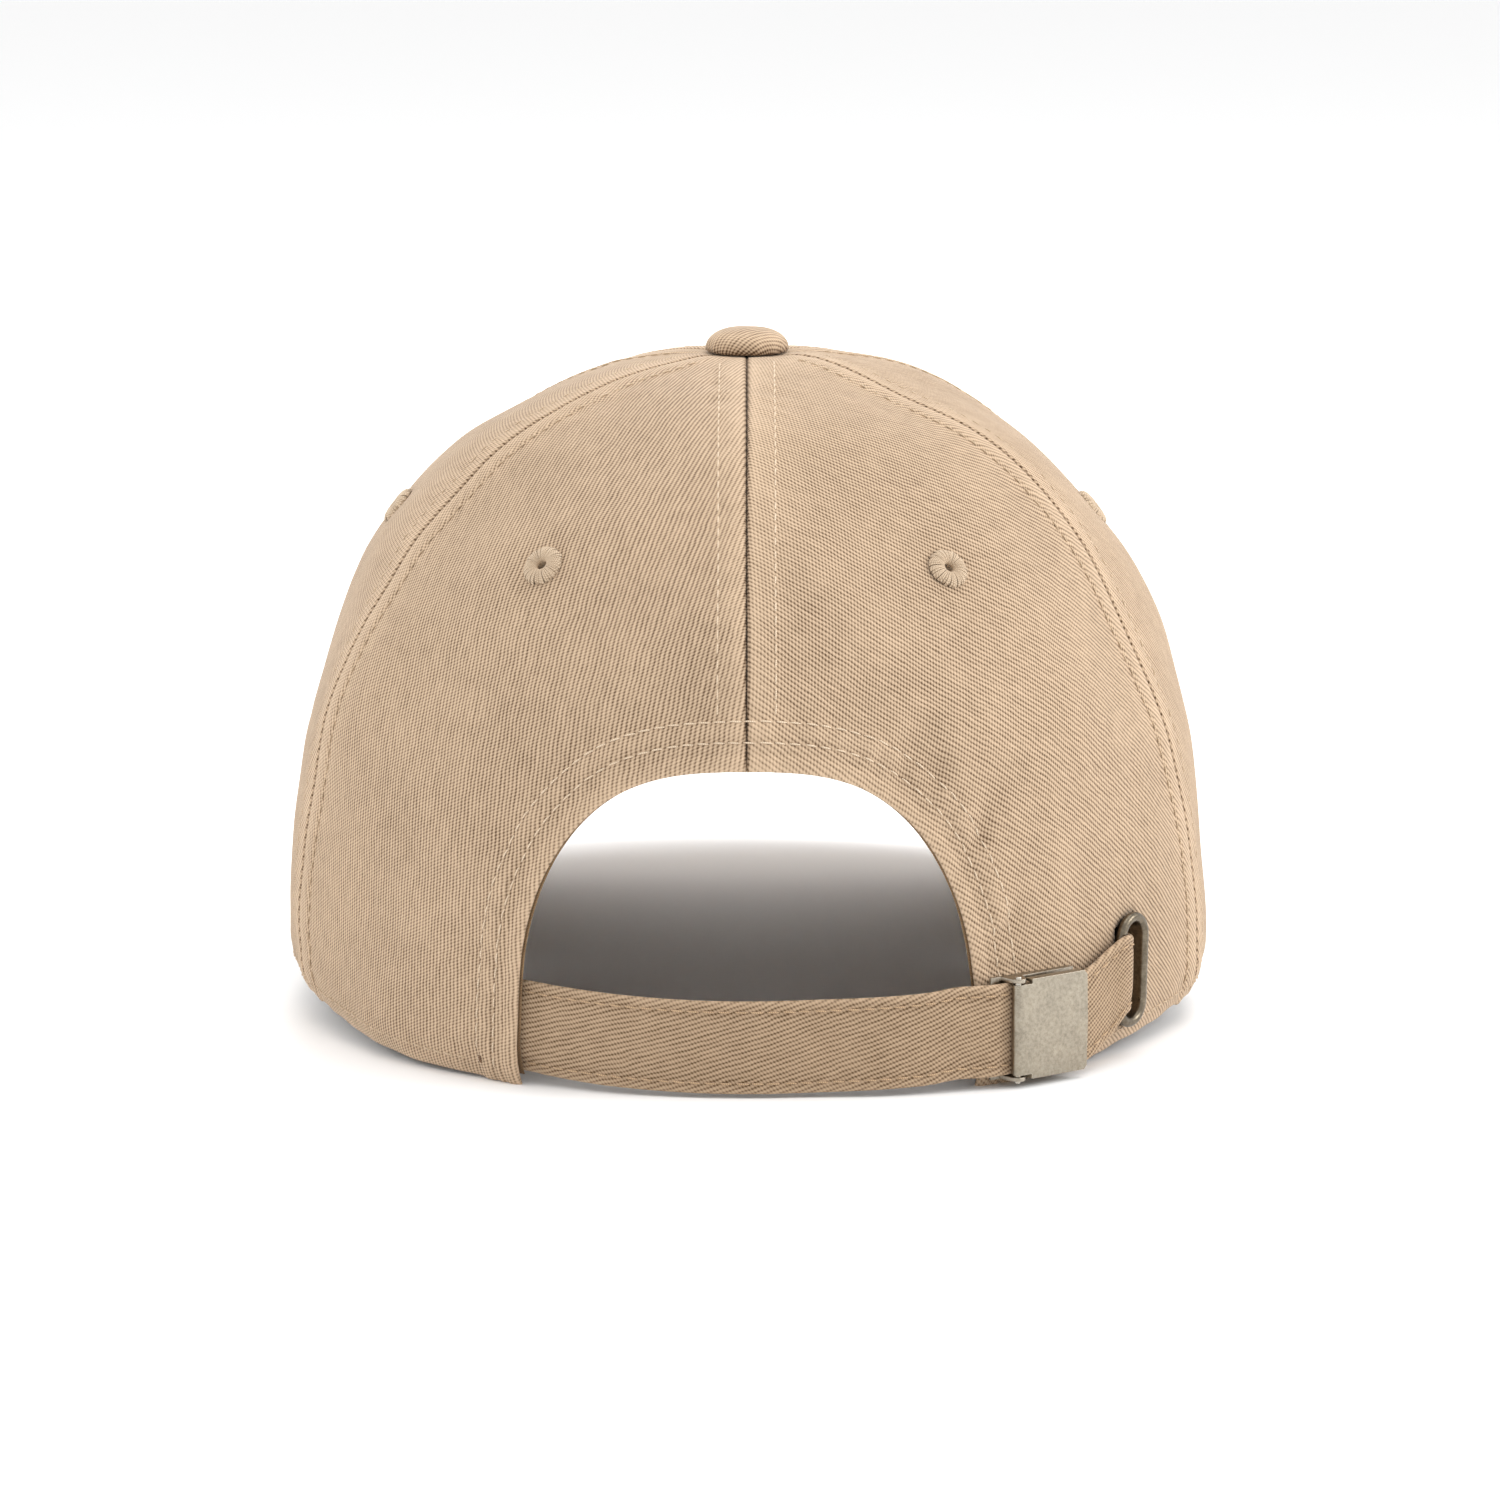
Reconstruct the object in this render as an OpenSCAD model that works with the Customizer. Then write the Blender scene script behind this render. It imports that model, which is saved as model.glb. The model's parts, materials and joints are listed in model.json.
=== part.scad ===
// Six-panel baseball cap with a curved visor, a covered button, six sewn eyelets,
// a rear opening and a strap with a hinged metal buckle.
// Millimetres. +Y is the way the visor points, +X is the wearer's right, +Z is up.
// The cap rests on z = 0 on the rear hem and on the two sides of the visor.

/* [Part] */
// Node to show, or all of them

/* [Crown] */
// Half width of the crown at its rim line
crown_half_width = 85.5; // [78:0.5:95]
// From the widest line of the rim back to the rear of the rim
crown_rear_depth = 91; // [84:0.5:102]
// From the widest line of the rim forward to the root of the visor
crown_front_depth = 98; // [90:0.5:108]
// Height of the top of the crown above the table
crown_height = 125; // [110:0.5:140]
// How far forward of the widest line the top lies
crown_top_forward = 5; // [-5:0.5:15]
// Angle the rear and side rim rises at, towards the front
rim_tilt = 4.5; // [0:0.5:8]
// How much the rim tucks in below the fullest level, as a share of the half width
rim_tuck = 0.03; // [0:0.005:0.08]
// Height share where the crown is fullest
full_level = 0.07; // [0.04:0.01:0.2]
// Profile fullness of the shoulder at the sides
side_fullness = 2.5; // [1.8:0.05:4]
// Profile fullness of the shoulder at the rear
rear_fullness = 3.2; // [1.8:0.05:4.5]
// Profile fullness of the shoulder at the front
front_fullness = 3.1; // [1.8:0.05:4.5]
// Profile power of the flat top at the sides and front
top_power = 2.2; // [1.8:0.05:2.6]
// Profile power of the flat top at the rear
rear_top_power = 2; // [1.8:0.05:2.6]
// How far the seams stand out as ridges, as a share of the half width
seam_ridge = 0.006; // [0:0.001:0.015]
// Angle of the rear side seams at the rim, from the rear centre
rear_seam_rim = 75; // [60:1:85]
// Angle of the rear side seams at the top
rear_seam_top = 62; // [55:1:70]
// Angle of the front side seams at the rim, from the rear centre
front_seam_rim = 121; // [110:1:130]
// Angle of the front side seams at the top
front_seam_top = 119; // [110:1:125]

/* [Cloth layers] */
// Thickness of the crown panels
panel_thickness = 0.8; // [0.5:0.05:1.2]
// Depth of the buckram and of the opening's binding below the outer face
lining_depth = 1.0; // [0.9:0.05:1.4]
// Thickness of the buckram and of the binding
lining_thickness = 0.5; // [0.3:0.05:0.8]
// Depth of the seam tapes below the outer face
tape_depth = 1.75; // [1.6:0.05:2.2]
// Thickness of the seam tapes
tape_thickness = 0.5; // [0.3:0.05:0.8]
// Width of the seam tapes
tape_width = 12; // [8:0.5:16]
// Depth of the sweatband below the outer face
band_depth = 3.8; // [3.1:0.1:4.5]
// Thickness of the sweatband
band_thickness = 1.2; // [0.8:0.1:2]
// Height of the sweatband
band_height = 32; // [25:1:38]
// Half of the gap left at every seam
seam_half_gap = 0.06; // [0.03:0.01:0.15]

/* [Rear opening] */
// Angle from the rear centre to each side of the opening
opening_angle = 28.7; // [22:0.1:34]
// Height of the opening as a share of the crown height
opening_level = 0.482; // [0.35:0.002:0.55]
// Squareness of the opening's arch
opening_power = 2.7; // [2:0.05:3]
// Width of the binding sewn round the opening
binding_width = 12; // [8:0.5:14]

/* [Visor] */
// How far the visor stands out from the crown at the front
visor_reach = 70; // [60:1:80]
// Half width of the visor
visor_half_width = 88; // [80:0.5:95]
// Angle from the front centre to each end of the visor
visor_end_angle = 68; // [60:0.5:75]
// Squareness of the visor's outline
visor_power = 2.15; // [2:0.05:2.6]
// Camber of the visor: drop is this times the sideways distance squared
visor_camber = 0.0045; // [0.002:0.0001:0.007]
// Slope of the visor down towards the front
visor_slope = 0.12; // [0:0.01:0.4]
// Thickness of the visor's stiff board
board_thickness = 2.0; // [1.5:0.1:3]
// Thickness of each visor cover
cover_thickness = 0.8; // [0.5:0.05:1.2]
// How far the visor's root reaches in under the crown
visor_root_inset = 2.9; // [2:0.1:3.1]

/* [Button and eyelets] */
// Radius of the covered button
button_radius = 8; // [6:0.1:10]
// Height of the covered button
button_height = 5.2; // [3:0.1:7]
// Radius of the button's pin
button_pin_radius = 1.5; // [1:0.1:2]
// Height share of the eyelets
eyelet_level = 0.745; // [0.6:0.005:0.85]
// Outer radius of an eyelet
eyelet_radius = 3.85; // [3:0.05:5]
// Radius of the hole in an eyelet
eyelet_hole_radius = 0.8; // [0.5:0.1:1.5]

/* [Strap] */
// Width of the strap
strap_width = 17.2; // [14:0.1:20]
// Thickness of the strap
strap_thickness = 1.3; // [0.8:0.05:1.8]
// Height of the strap's centre line at the rear centre
strap_height = 9.3; // [9:0.1:16]
// Angle from the rear centre to the slot
slot_angle = 53.3; // [48:0.1:60]
// Height of the centre of the slot
slot_height = 16.7; // [12:0.1:22]

/* [Buckle] */
// Angle from the rear centre to the middle of the buckle
buckle_angle = 37.4; // [34:0.1:44]
// Height of the middle of the buckle
buckle_height = 10.9; // [9:0.1:16]
// Length of the hinged cover from its pin
cover_length = 16.2; // [14:0.1:24]
// Height of the hinged cover
cover_width = 18.6; // [16:0.1:24]
// Metal thickness of the cover
cover_metal = 0.8; // [0.5:0.05:1.2]
// Radius of the hinge pin
pin_radius = 0.6; // [0.4:0.05:1]
// Radial running clearance of the cover on its pin
pin_clearance = 0.05; // [0.01:0.01:0.1]
// How far the cover is swung open
cover_open = 0; // [0:1:100]

/* [Hidden] */
$fn = 48;
hem_y = -crown_rear_depth * cos(opening_angle);
visor_thickness = board_thickness + 2 * cover_thickness + 0.2;
end_x = crown_half_width * sin(visor_end_angle);
end_y = crown_front_depth * cos(visor_end_angle);
outline_sine = pow(end_x / visor_half_width, visor_power / 2);
outline_end = 180 - asin(outline_sine);
outline_back = pow(-cos(outline_end), 2 / visor_power);
visor_half_length = (crown_front_depth + visor_reach - end_y) / (1 + outline_back);
visor_mid_y = crown_front_depth + visor_reach - visor_half_length;
pin_x = -8.6;
pin_out = 4.35;
strap_out = 2.35;
hinge_radius = pin_radius + pin_clearance;
barrel_radius = 1.05;
ear_thickness = 0.8;
ear_inner = cover_width / 2 - ear_thickness - 0.05;
ring_section = 0.95;
ring_inner_radius = 2.9;
ring_centre_radius = ring_inner_radius + ring_section;
ring_half_straight = 6.1;
slot_lean = 1.5;
slot_radius = 3.7;
strap_back_y = -crown_rear_depth * (1 + rim_tuck) + strap_out - strap_thickness / 2 - 0.26;
visor_columns = 41;
y_mid = (crown_front_depth + visor_reach - 0.22 + strap_back_y) / 2;

// ---- small helpers ----

function clamp01(v) = min(1, max(0, v));
function smooth(v) = let(c = clamp01(v)) c * c * (3 - 2 * c);
function mixed(a, b, w) = a + (b - a) * w;
function unit(v) = v / norm(v);
function wrap(th) = th > 180 ? th - 360 : th;
function signed_power(v, p) = sign(v) * pow(abs(v), p);

// ---- the visor's surface ----

function visor_rise(x, y) = -visor_camber * x * x + visor_slope * (crown_front_depth - y);
function visor_normal(x) = unit([2 * visor_camber * x, visor_slope, 1]);
function outline(b) = [
  visor_half_width * signed_power(sin(b), 2 / visor_power),
  visor_mid_y + visor_half_length * signed_power(cos(b), 2 / visor_power)
];
function edge_low(j, a) =
  let(
    h = visor_thickness / 2,
    p = visor_plan(column_place(j), 1, h * (1 - sin(a)))
  )
  visor_rise(p[0], p[1]) - visor_normal(p[0])[2] * h * (1 + cos(a));
visor_root_height = -min([
  for (j = [0 : visor_columns - 1], a = [0, 22.5, 45, 67.5, 90]) edge_low(j, a)
]);
function visor_z(x, y) = visor_root_height + visor_rise(x, y);

// ---- the crown's surface: angle from the rear centre, and height share ----

function rear_seam(e) = mixed(rear_seam_rim, rear_seam_top, e);
function front_seam(e) = mixed(front_seam_rim, front_seam_top, e);
function rim_x(th) = crown_half_width * sin(th);
function rim_depth(th) = cos(th) > 0 ? crown_rear_depth : crown_front_depth;
function rim_y(th) = -rim_depth(th) * cos(th);
function rim_z(th) =
  let(
    x = rim_x(th),
    y = rim_y(th),
    k = 1 - 1.2 / crown_half_width,
    w = smooth((abs(wrap(th)) - 88) / 20)
  )
  mixed((y - hem_y) * tan(rim_tilt), visor_z(x * k, y * k) + 0.2, w);
function end_weight(th) = cos(th) * cos(th);
function fullness(th) =
  mixed(side_fullness, cos(th) > 0 ? rear_fullness : front_fullness, end_weight(th));
function power(th) = mixed(top_power, cos(th) > 0 ? rear_top_power : top_power, end_weight(th));
function panel_share(th, e) =
  let(a = abs(wrap(th)), r = rear_seam(e), f = front_seam(e))
  a < r ? a / r : (a < f ? (a - r) / (f - r) : (a - f) / (180 - f));
function crown_share(th, e) =
  let(
    u = clamp01((e - full_level) / (1 - full_level)),
    d = max(0, (full_level - e) / full_level),
    ridge = 1 + seam_ridge * cos(360 * panel_share(th, e)) * sin(180 * pow(clamp01(e), 0.8))
  )
  pow(1 - pow(u, fullness(th)), 1 / power(th)) * (1 - rim_tuck * d * d) * ridge;
function crown_point(th, e) =
  let(q = crown_share(th, e), z0 = rim_z(th), full = 1 + rim_tuck)
  [
    rim_x(th) * full * q,
    crown_top_forward * (1 - q) + rim_y(th) * full * q,
    z0 + (crown_height - z0) * e
  ];
function crown_normal(th, e) =
  let(
    hi = min(e + 0.004, 0.99995),
    lo = min(e, 0.9997) - 0.004,
    du = crown_point(th + 0.5, e) - crown_point(th - 0.5, e),
    dv = crown_point(th, hi) - crown_point(th, lo)
  )
  unit(cross(du, dv));
function crown_at(th, e, d) = crown_point(th, e) - d * crown_normal(th, e);
// even steps up the crown, 0 at the fullest level and 1 at the very top
function level(s) =
  full_level + (1 - full_level) * pow(sin(90 * pow(s, 1.25)), 2 / side_fullness);
// share of the way up to a given height above the table
function share_at(th, z) = (z - rim_z(th)) / (crown_height - rim_z(th));

// ---- thin sheets built as closed solids ----

function grid_faces(nr, nc) =
  let(n = nr * nc)
  concat(
    [for (i = [0 : nr - 2], j = [0 : nc - 2]) let(a = i * nc + j) [a, a + nc, a + nc + 1]],
    [for (i = [0 : nr - 2], j = [0 : nc - 2]) let(a = i * nc + j) [a, a + nc + 1, a + 1]],
    [for (i = [0 : nr - 2], j = [0 : nc - 2]) let(a = n + i * nc + j) [a, a + nc + 1, a + nc]],
    [for (i = [0 : nr - 2], j = [0 : nc - 2]) let(a = n + i * nc + j) [a, a + 1, a + nc + 1]],
    [for (j = [0 : nc - 2]) [j, j + 1, n + j + 1]],
    [for (j = [0 : nc - 2]) [j, n + j + 1, n + j]],
    [for (j = [0 : nc - 2]) let(a = (nr - 1) * nc + j) [a + 1, a, n + a]],
    [for (j = [0 : nc - 2]) let(a = (nr - 1) * nc + j) [a + 1, n + a, n + a + 1]],
    [for (i = [0 : nr - 2]) let(a = i * nc) [a + nc, a, n + a]],
    [for (i = [0 : nr - 2]) let(a = i * nc) [a + nc, n + a, n + a + nc]],
    [for (i = [0 : nr - 2]) let(a = i * nc + nc - 1) [a, a + nc, n + a + nc]],
    [for (i = [0 : nr - 2]) let(a = i * nc + nc - 1) [a, n + a + nc, n + a]]
  );

module grid_solid(outer, inner, nr, nc) {
  polyhedron(points = concat(outer, inner), faces = grid_faces(nr, nc));
}

// a crown sheet from a table of [angle, share] places
module crown_sheet(places, nr, nc, depth, thickness) {
  grid_solid(
    [for (p = places) crown_at(p[0], p[1], depth)],
    [for (p = places) crown_at(p[0], p[1], depth + thickness)],
    nr,
    nc
  );
}

module placed() {
  translate([0, -y_mid, 0]) children();
}

module flipped(side) {
  if (side < 0) {
    mirror([1, 0, 0]) children();
  } else {
    children();
  }
}

// local frame on the crown: X along the rim, -Y outwards, Z up
function plan_turn(th, e) = let(n = crown_normal(th, e)) atan2(n[0], -n[1]);
module on_rim(th, z) {
  e = share_at(th, z);
  p = crown_point(th, e);
  translate([p[0], p[1], z]) rotate([0, 0, plan_turn(th, e)]) children();
}
function rim_local(th, z, x, out) =
  let(e = share_at(th, z), p = crown_point(th, e), t = plan_turn(th, e))
  [p[0] + x * cos(t) + out * sin(t), p[1] + x * sin(t) - out * cos(t)];

// frame on the crown with Z along the outward normal
module on_crown(th, e) {
  n = crown_normal(th, e);
  translate(crown_point(th, e)) rotate([0, acos(n[2]), atan2(n[1], n[0])]) children();
}

// ---- crown panels ----

function seam_gap(th, e) = seam_half_gap * 57.3 / (crown_half_width * crown_share(th, e));
full_rows = 22;
low_shares = [0, 0.25, 0.5, 0.75];
function panel_level(i) =
  i < 4 ? full_level * low_shares[i] : level(0.982 * (i - 4) / (full_rows - 5));

module full_panel(kind) {
  nc = 15;
  places = [
    for (i = [0 : full_rows - 1], j = [0 : nc - 1])
      let(
        e = panel_level(i),
        a = kind == "front" ? front_seam(e) : rear_seam(e),
        b = kind == "front" ? 180 : front_seam(e),
        g = seam_gap(a, e)
      )
      [mixed(a + g, b - g, j / (nc - 1)), e]
  ];
  mid = kind == "front" ? (front_seam(eyelet_level) + 180) / 2
    : (rear_seam(eyelet_level) + front_seam(eyelet_level)) / 2;
  difference() {
    crown_sheet(places, full_rows, nc, 0, panel_thickness);
    on_crown(mid, eyelet_level) cylinder(r = 1.7, h = 8, center = true, $fn = 24);
  }
}

arch_rows = 20;
upper_rows = 17;
function arch_turn(k) = 90 * (1 - pow(k / arch_rows, 1.7));
function arch_angle(k) = opening_angle * pow(sin(arch_turn(k)), 2 / opening_power);
function arch_level(k) = opening_level * pow(cos(arch_turn(k)), 2 / opening_power);
first_step = pow(asin(pow((opening_level - full_level) / (1 - full_level), side_fullness / 2)) / 90, 0.8);

module back_panel() {
  nc = 16;
  nr = arch_rows + upper_rows;
  places = [
    for (i = [0 : nr - 1], j = [0 : nc - 1])
      let(
        e = i <= arch_rows ? arch_level(i)
          : level(mixed(first_step, 0.982, (i - arch_rows) / (nr - 1 - arch_rows))),
        g = seam_gap(rear_seam(e), e),
        a = i < arch_rows ? max(arch_angle(i), g) : g,
        b = rear_seam(e) - g
      )
      [mixed(a, b, j / (nc - 1)), e]
  ];
  difference() {
    crown_sheet(places, nr, nc, 0, panel_thickness);
    on_crown(rear_seam(eyelet_level) / 2, eyelet_level)
      cylinder(r = 1.7, h = 8, center = true, $fn = 24);
  }
}

module slot_hole() {
  rotate([90, 0, 0]) linear_extrude(height = 8, center = true) slot_shape(slot_radius);
}

module slot_shape(r) {
  translate([0, ring_half_straight]) circle(r = r, $fn = 48);
  translate([0, -ring_half_straight]) circle(r = r, $fn = 48);
  square([2 * r, 2 * ring_half_straight], center = true);
}

module front_panel_left() {
  color([0.75, 0.65, 0.53]) placed() flipped(-1) full_panel("front");
}

module front_panel_right() {
  color([0.75, 0.65, 0.53]) placed() full_panel("front");
}

module side_panel_left() {
  color([0.77, 0.67, 0.55]) placed() flipped(-1) full_panel("side");
}

module side_panel_right() {
  color([0.77, 0.67, 0.55]) placed() full_panel("side");
}

module back_panel_left() {
  color([0.73, 0.63, 0.51]) placed() flipped(-1) back_panel();
}

module back_panel_right() {
  color([0.73, 0.63, 0.51]) placed() difference() {
    back_panel();
    on_rim(slot_angle, slot_height) rotate([slot_lean, 0, 0]) slot_hole();
  }
}

// ---- inside layers ----

module buckram() {
  nr = 10;
  nc = 10;
  places = [
    for (i = [0 : nr - 1], j = [0 : nc - 1])
      let(e = mixed(0.05, 0.66, i / (nr - 1)))
      [mixed(front_seam(e) + 1, 179.8, j / (nc - 1)), e]
  ];
  crown_sheet(places, nr, nc, lining_depth, lining_thickness);
}

module buckram_left() {
  color([0.93, 0.92, 0.88]) placed() flipped(-1) buckram();
}

module buckram_right() {
  color([0.93, 0.92, 0.88]) placed() buckram();
}

function tape_place(kind, e) = kind == "rear" ? 0
  : (kind == "front" ? 180 : (kind == "rear_side" ? rear_seam(e) : front_seam(e)));

module tape(kind) {
  nr = 18;
  nc = 4;
  s0 = kind == "rear" ? first_step + 0.01 : 0;
  places = [
    for (i = [0 : nr - 1], j = [0 : nc - 1])
      let(
        f = i / (nr - 1),
        e = kind == "rear" ? level(mixed(s0, 0.9, f))
          : (i == 0 ? 0.035 : level(mixed(0.02, 0.9, (i - 1) / (nr - 2)))),
        c = tape_place(kind, e),
        w = tape_width / 2 * 57.3 / (crown_half_width * crown_share(c, e))
      )
      [c + mixed(-w, w, j / (nc - 1)), e]
  ];
  crown_sheet(places, nr, nc, tape_depth, tape_thickness);
}

module tape_front() {
  color([0.45, 0.37, 0.28]) placed() tape("front");
}

module tape_front_left() {
  color([0.45, 0.37, 0.28]) placed() flipped(-1) tape("front_side");
}

module tape_front_right() {
  color([0.45, 0.37, 0.28]) placed() tape("front_side");
}

module tape_rear_left() {
  color([0.45, 0.37, 0.28]) placed() flipped(-1) tape("rear_side");
}

module tape_rear_right() {
  color([0.45, 0.37, 0.28]) placed() tape("rear_side");
}

module tape_rear() {
  color([0.45, 0.37, 0.28]) placed() tape("rear");
}

module opening_binding() {
  nr = 4;
  nc = 73;
  wide_angle = opening_angle + binding_width / crown_half_width * 57.3;
  wide_level = opening_level + binding_width / crown_height;
  places = [
    for (i = [0 : nr - 1], j = [0 : nc - 1])
      let(
        c = 2 * j / (nc - 1) - 1,
        a = 90 * sign(c) * (1 - pow(1 - abs(c), 1.7)),
        f = i / (nr - 1),
        th = mixed(opening_angle + 0.15, wide_angle, f) * signed_power(sin(a), 2 / opening_power),
        e = mixed(opening_level + 0.002, wide_level, f) * pow(abs(cos(a)), 2 / opening_power)
      )
      [th, max(e, 0.006)]
  ];
  color([0.55, 0.46, 0.36]) placed() crown_sheet(places, nr, nc, lining_depth + 0.3, 0.36);
}

module sweatband() {
  nr = 5;
  nc = 61;
  places = [
    for (i = [0 : nr - 1], j = [0 : nc - 1])
      let(
        th = mixed(opening_angle + 1.2, 360 - opening_angle - 1.2, j / (nc - 1)),
        z = rim_z(th) + mixed(0.8, band_height, i / (nr - 1))
      )
      [th, share_at(th, z)]
  ];
  color([0.62, 0.53, 0.42]) placed() crown_sheet(places, nr, nc, band_depth, band_thickness);
}

// ---- visor ----

function column_place(j) = -0.985 + 1.97 * j / (visor_columns - 1);
function root_edge(t) =
  let(
    a = t * visor_end_angle,
    ax = crown_half_width - visor_root_inset,
    ay = crown_front_depth - visor_root_inset
  )
  [ax * sin(a), ay * cos(a)];
// place on the visor: t from end to end, inset from the outer edge in mm or share of the way
function visor_plan(t, share, inset) =
  let(a = root_edge(t), b = outline(t * outline_end), l = max(norm(b - a), 0.01))
  mixed(a, b, share * (1 - min(inset / l, 0.6)));
function visor_at(t, share, inset, depth) =
  let(p = visor_plan(t, share, inset))
  [p[0], p[1], visor_z(p[0], p[1])] - depth * visor_normal(p[0]);

// sheet across the visor; a row is [share, inset, depth] from the root out to the edge
module visor_sheet(upper, lower, turn) {
  nr = len(upper);
  nc = visor_columns;
  rows = turn ? lower : upper;
  backs = turn ? upper : lower;
  grid_solid(
    [for (i = [0 : nr - 1], j = [0 : nc - 1])
      visor_at(column_place(j), rows[i][0], rows[i][1], rows[i][2])],
    [for (i = [0 : nr - 1], j = [0 : nc - 1])
      visor_at(column_place(j), backs[i][0], backs[i][1], backs[i][2])],
    nr,
    nc
  );
}

module visor_board() {
  top = cover_thickness + 0.05;
  low = visor_thickness - cover_thickness - 0.05;
  color([0.9, 0.9, 0.88]) placed() visor_sheet(
    [for (i = [0 : 6]) [i / 6, 1.9, top]],
    [for (i = [0 : 6]) [i / 6, 1.9, low]],
    false
  );
}

half = visor_thickness / 2;
skin = cover_thickness;
roll_steps = [for (i = [1 : 4]) 90 * i / 4];
flat_shares = [for (i = [0 : 7]) i / 8];
function rolled(side, inner) = concat(
  [for (f = flat_shares) [f, half, half - side * (half - (inner ? skin : 0))]],
  [[1, half, half - side * (half - (inner ? skin : 0))]],
  [
    for (a = roll_steps)
      let(r = inner ? half - skin : half)
      [1, half - r * sin(a), half - side * max(r * cos(a), 0.03)]
  ]
);

module visor_top_cover() {
  color([0.75, 0.65, 0.53]) placed() visor_sheet(rolled(1, false), rolled(1, true), false);
}

module visor_under_cover() {
  color([0.7, 0.6, 0.48]) placed() visor_sheet(rolled(-1, true), rolled(-1, false), false);
}

// ---- button ----

module at_top() {
  placed() translate([0, crown_top_forward, crown_height]) children();
}

function dome_at(r, h, a, base) = [r * pow(cos(a), 0.8), base + (h - base) * pow(sin(a), 0.9)];
function dome_up(r, h, base) = [for (a = [0 : 7.5 : 82.5]) dome_at(r, h, a, base)];
function dome_down(r, h, base) = [for (a = [82.5 : -7.5 : 0]) dome_at(r, h, a, base)];

module button_cover() {
  base = 0.9;
  color([0.75, 0.65, 0.53]) at_top() rotate_extrude($fn = 64) polygon(concat(
    dome_up(button_radius, button_height, base),
    [[0, button_height], [0, button_height - 0.7]],
    dome_down(button_radius - 0.7, button_height - 0.7, base),
    [[button_radius - 1, 0.75], [6.2, 0.75], [6.2, 0.1], [button_radius - 0.9, 0.1], [button_radius - 0.25, 0.35]]
  ));
}

module button_core() {
  r = button_radius - 0.8;
  color([0.62, 0.62, 0.6]) at_top() rotate_extrude($fn = 64) polygon(concat(
    dome_up(r, button_height - 0.8, 1),
    [[0, button_height - 0.8], [0, button_height - 1.3]],
    dome_down(r - 0.5, button_height - 1.3, 1)
  ));
}

module button_pin() {
  color([0.66, 0.66, 0.64]) at_top() {
    translate([0, 0, -2.7]) cylinder(r = button_pin_radius, h = button_height + 1.35, $fn = 32);
  }
}

module button_back() {
  color([0.66, 0.66, 0.64]) at_top() translate([0, 0, -2.4]) difference() {
    cylinder(r = 6, h = 0.7, $fn = 48);
    translate([0, 0, -1]) cylinder(r = button_pin_radius + 0.05, h = 3, $fn = 32);
  }
}

// ---- eyelets ----

module eyelet(th) {
  r = eyelet_radius;
  q = eyelet_hole_radius;
  on_crown(th, eyelet_level) rotate_extrude($fn = 48) polygon([
    [q, -1.45],
    [3, -1.45],
    [3.1, -1.25],
    [2.9, -1.0],
    [1.5, -1.0],
    [1.5, 0.12],
    [r, 0.12],
    [r, 0.3],
    [r - 0.45, 0.6],
    [r - 1.3, 0.72],
    [q + 0.9, 0.55],
    [q + 0.25, 0.25],
    [q, -0.2]
  ]);
}

front_mid = (front_seam(eyelet_level) + 180) / 2;
side_mid = (rear_seam(eyelet_level) + front_seam(eyelet_level)) / 2;
back_mid = rear_seam(eyelet_level) / 2;

module eyelet_front_left() {
  color([0.66, 0.56, 0.44]) placed() flipped(-1) eyelet(front_mid);
}

module eyelet_front_right() {
  color([0.66, 0.56, 0.44]) placed() eyelet(front_mid);
}

module eyelet_side_left() {
  color([0.66, 0.56, 0.44]) placed() flipped(-1) eyelet(side_mid);
}

module eyelet_side_right() {
  color([0.66, 0.56, 0.44]) placed() eyelet(side_mid);
}

module eyelet_back_left() {
  color([0.66, 0.56, 0.44]) placed() flipped(-1) eyelet(back_mid);
}

module eyelet_back_right() {
  color([0.66, 0.56, 0.44]) placed() eyelet(back_mid);
}

// ---- strap and tab: bands with an upright section that follow a path in plan ----

function heading(path, i) =
  let(
    a = path[max(i - 1, 0)],
    b = path[min(i + 1, len(path) - 1)]
  )
  unit([b[0] - a[0], b[1] - a[1]]);
function beside(path, i, off) =
  let(h = heading(path, i))
  [path[i][0] + off * h[1], path[i][1] - off * h[0]];
// each path is one level of the band, from its lower edge to its upper edge
module band(paths, thickness) {
  n = len(paths[0]);
  grid_solid(
    [for (path = paths, i = [0 : n - 1]) let(p = beside(path, i, thickness / 2)) [p[0], p[1], path[i][2]]],
    [for (path = paths, i = [0 : n - 1]) let(p = beside(path, i, -thickness / 2)) [p[0], p[1], path[i][2]]],
    len(paths),
    n
  );
}

// place at height z, a depth d below the crown's face as it stands at height zc
function crown_plan(th, z, zc, d) = let(p = crown_at(th, share_at(th, zc), d)) [p[0], p[1], z];
function rim_spot(th, z0, x, out, z) = let(p = rim_local(th, z0, x, out)) [p[0], p[1], z];
function in_buckle(x, out, z) = rim_spot(buckle_angle, buckle_height, x, out, z);
function in_slot(x, out, z) =
  rim_spot(slot_angle, slot_height, x, out + (z - slot_height) * tan(slot_lean), z);
inside = lining_depth + lining_thickness + 0.75 + strap_thickness / 2;
left_end = opening_angle + 9;

band_levels = [-0.5, -0.25, 0, 0.25, 0.5];

function opening_place(a, k) =
  let(
    c = mixed(strap_height, buckle_height, pow(abs(a) / 28, 2)),
    z = c + k * strap_width,
    upright = smooth((a + 28) / 14),
    over = smooth((a - 6) / 17)
  )
  crown_plan(a, z, mixed(z, c, upright), mixed(inside, -1.1, over));

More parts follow.
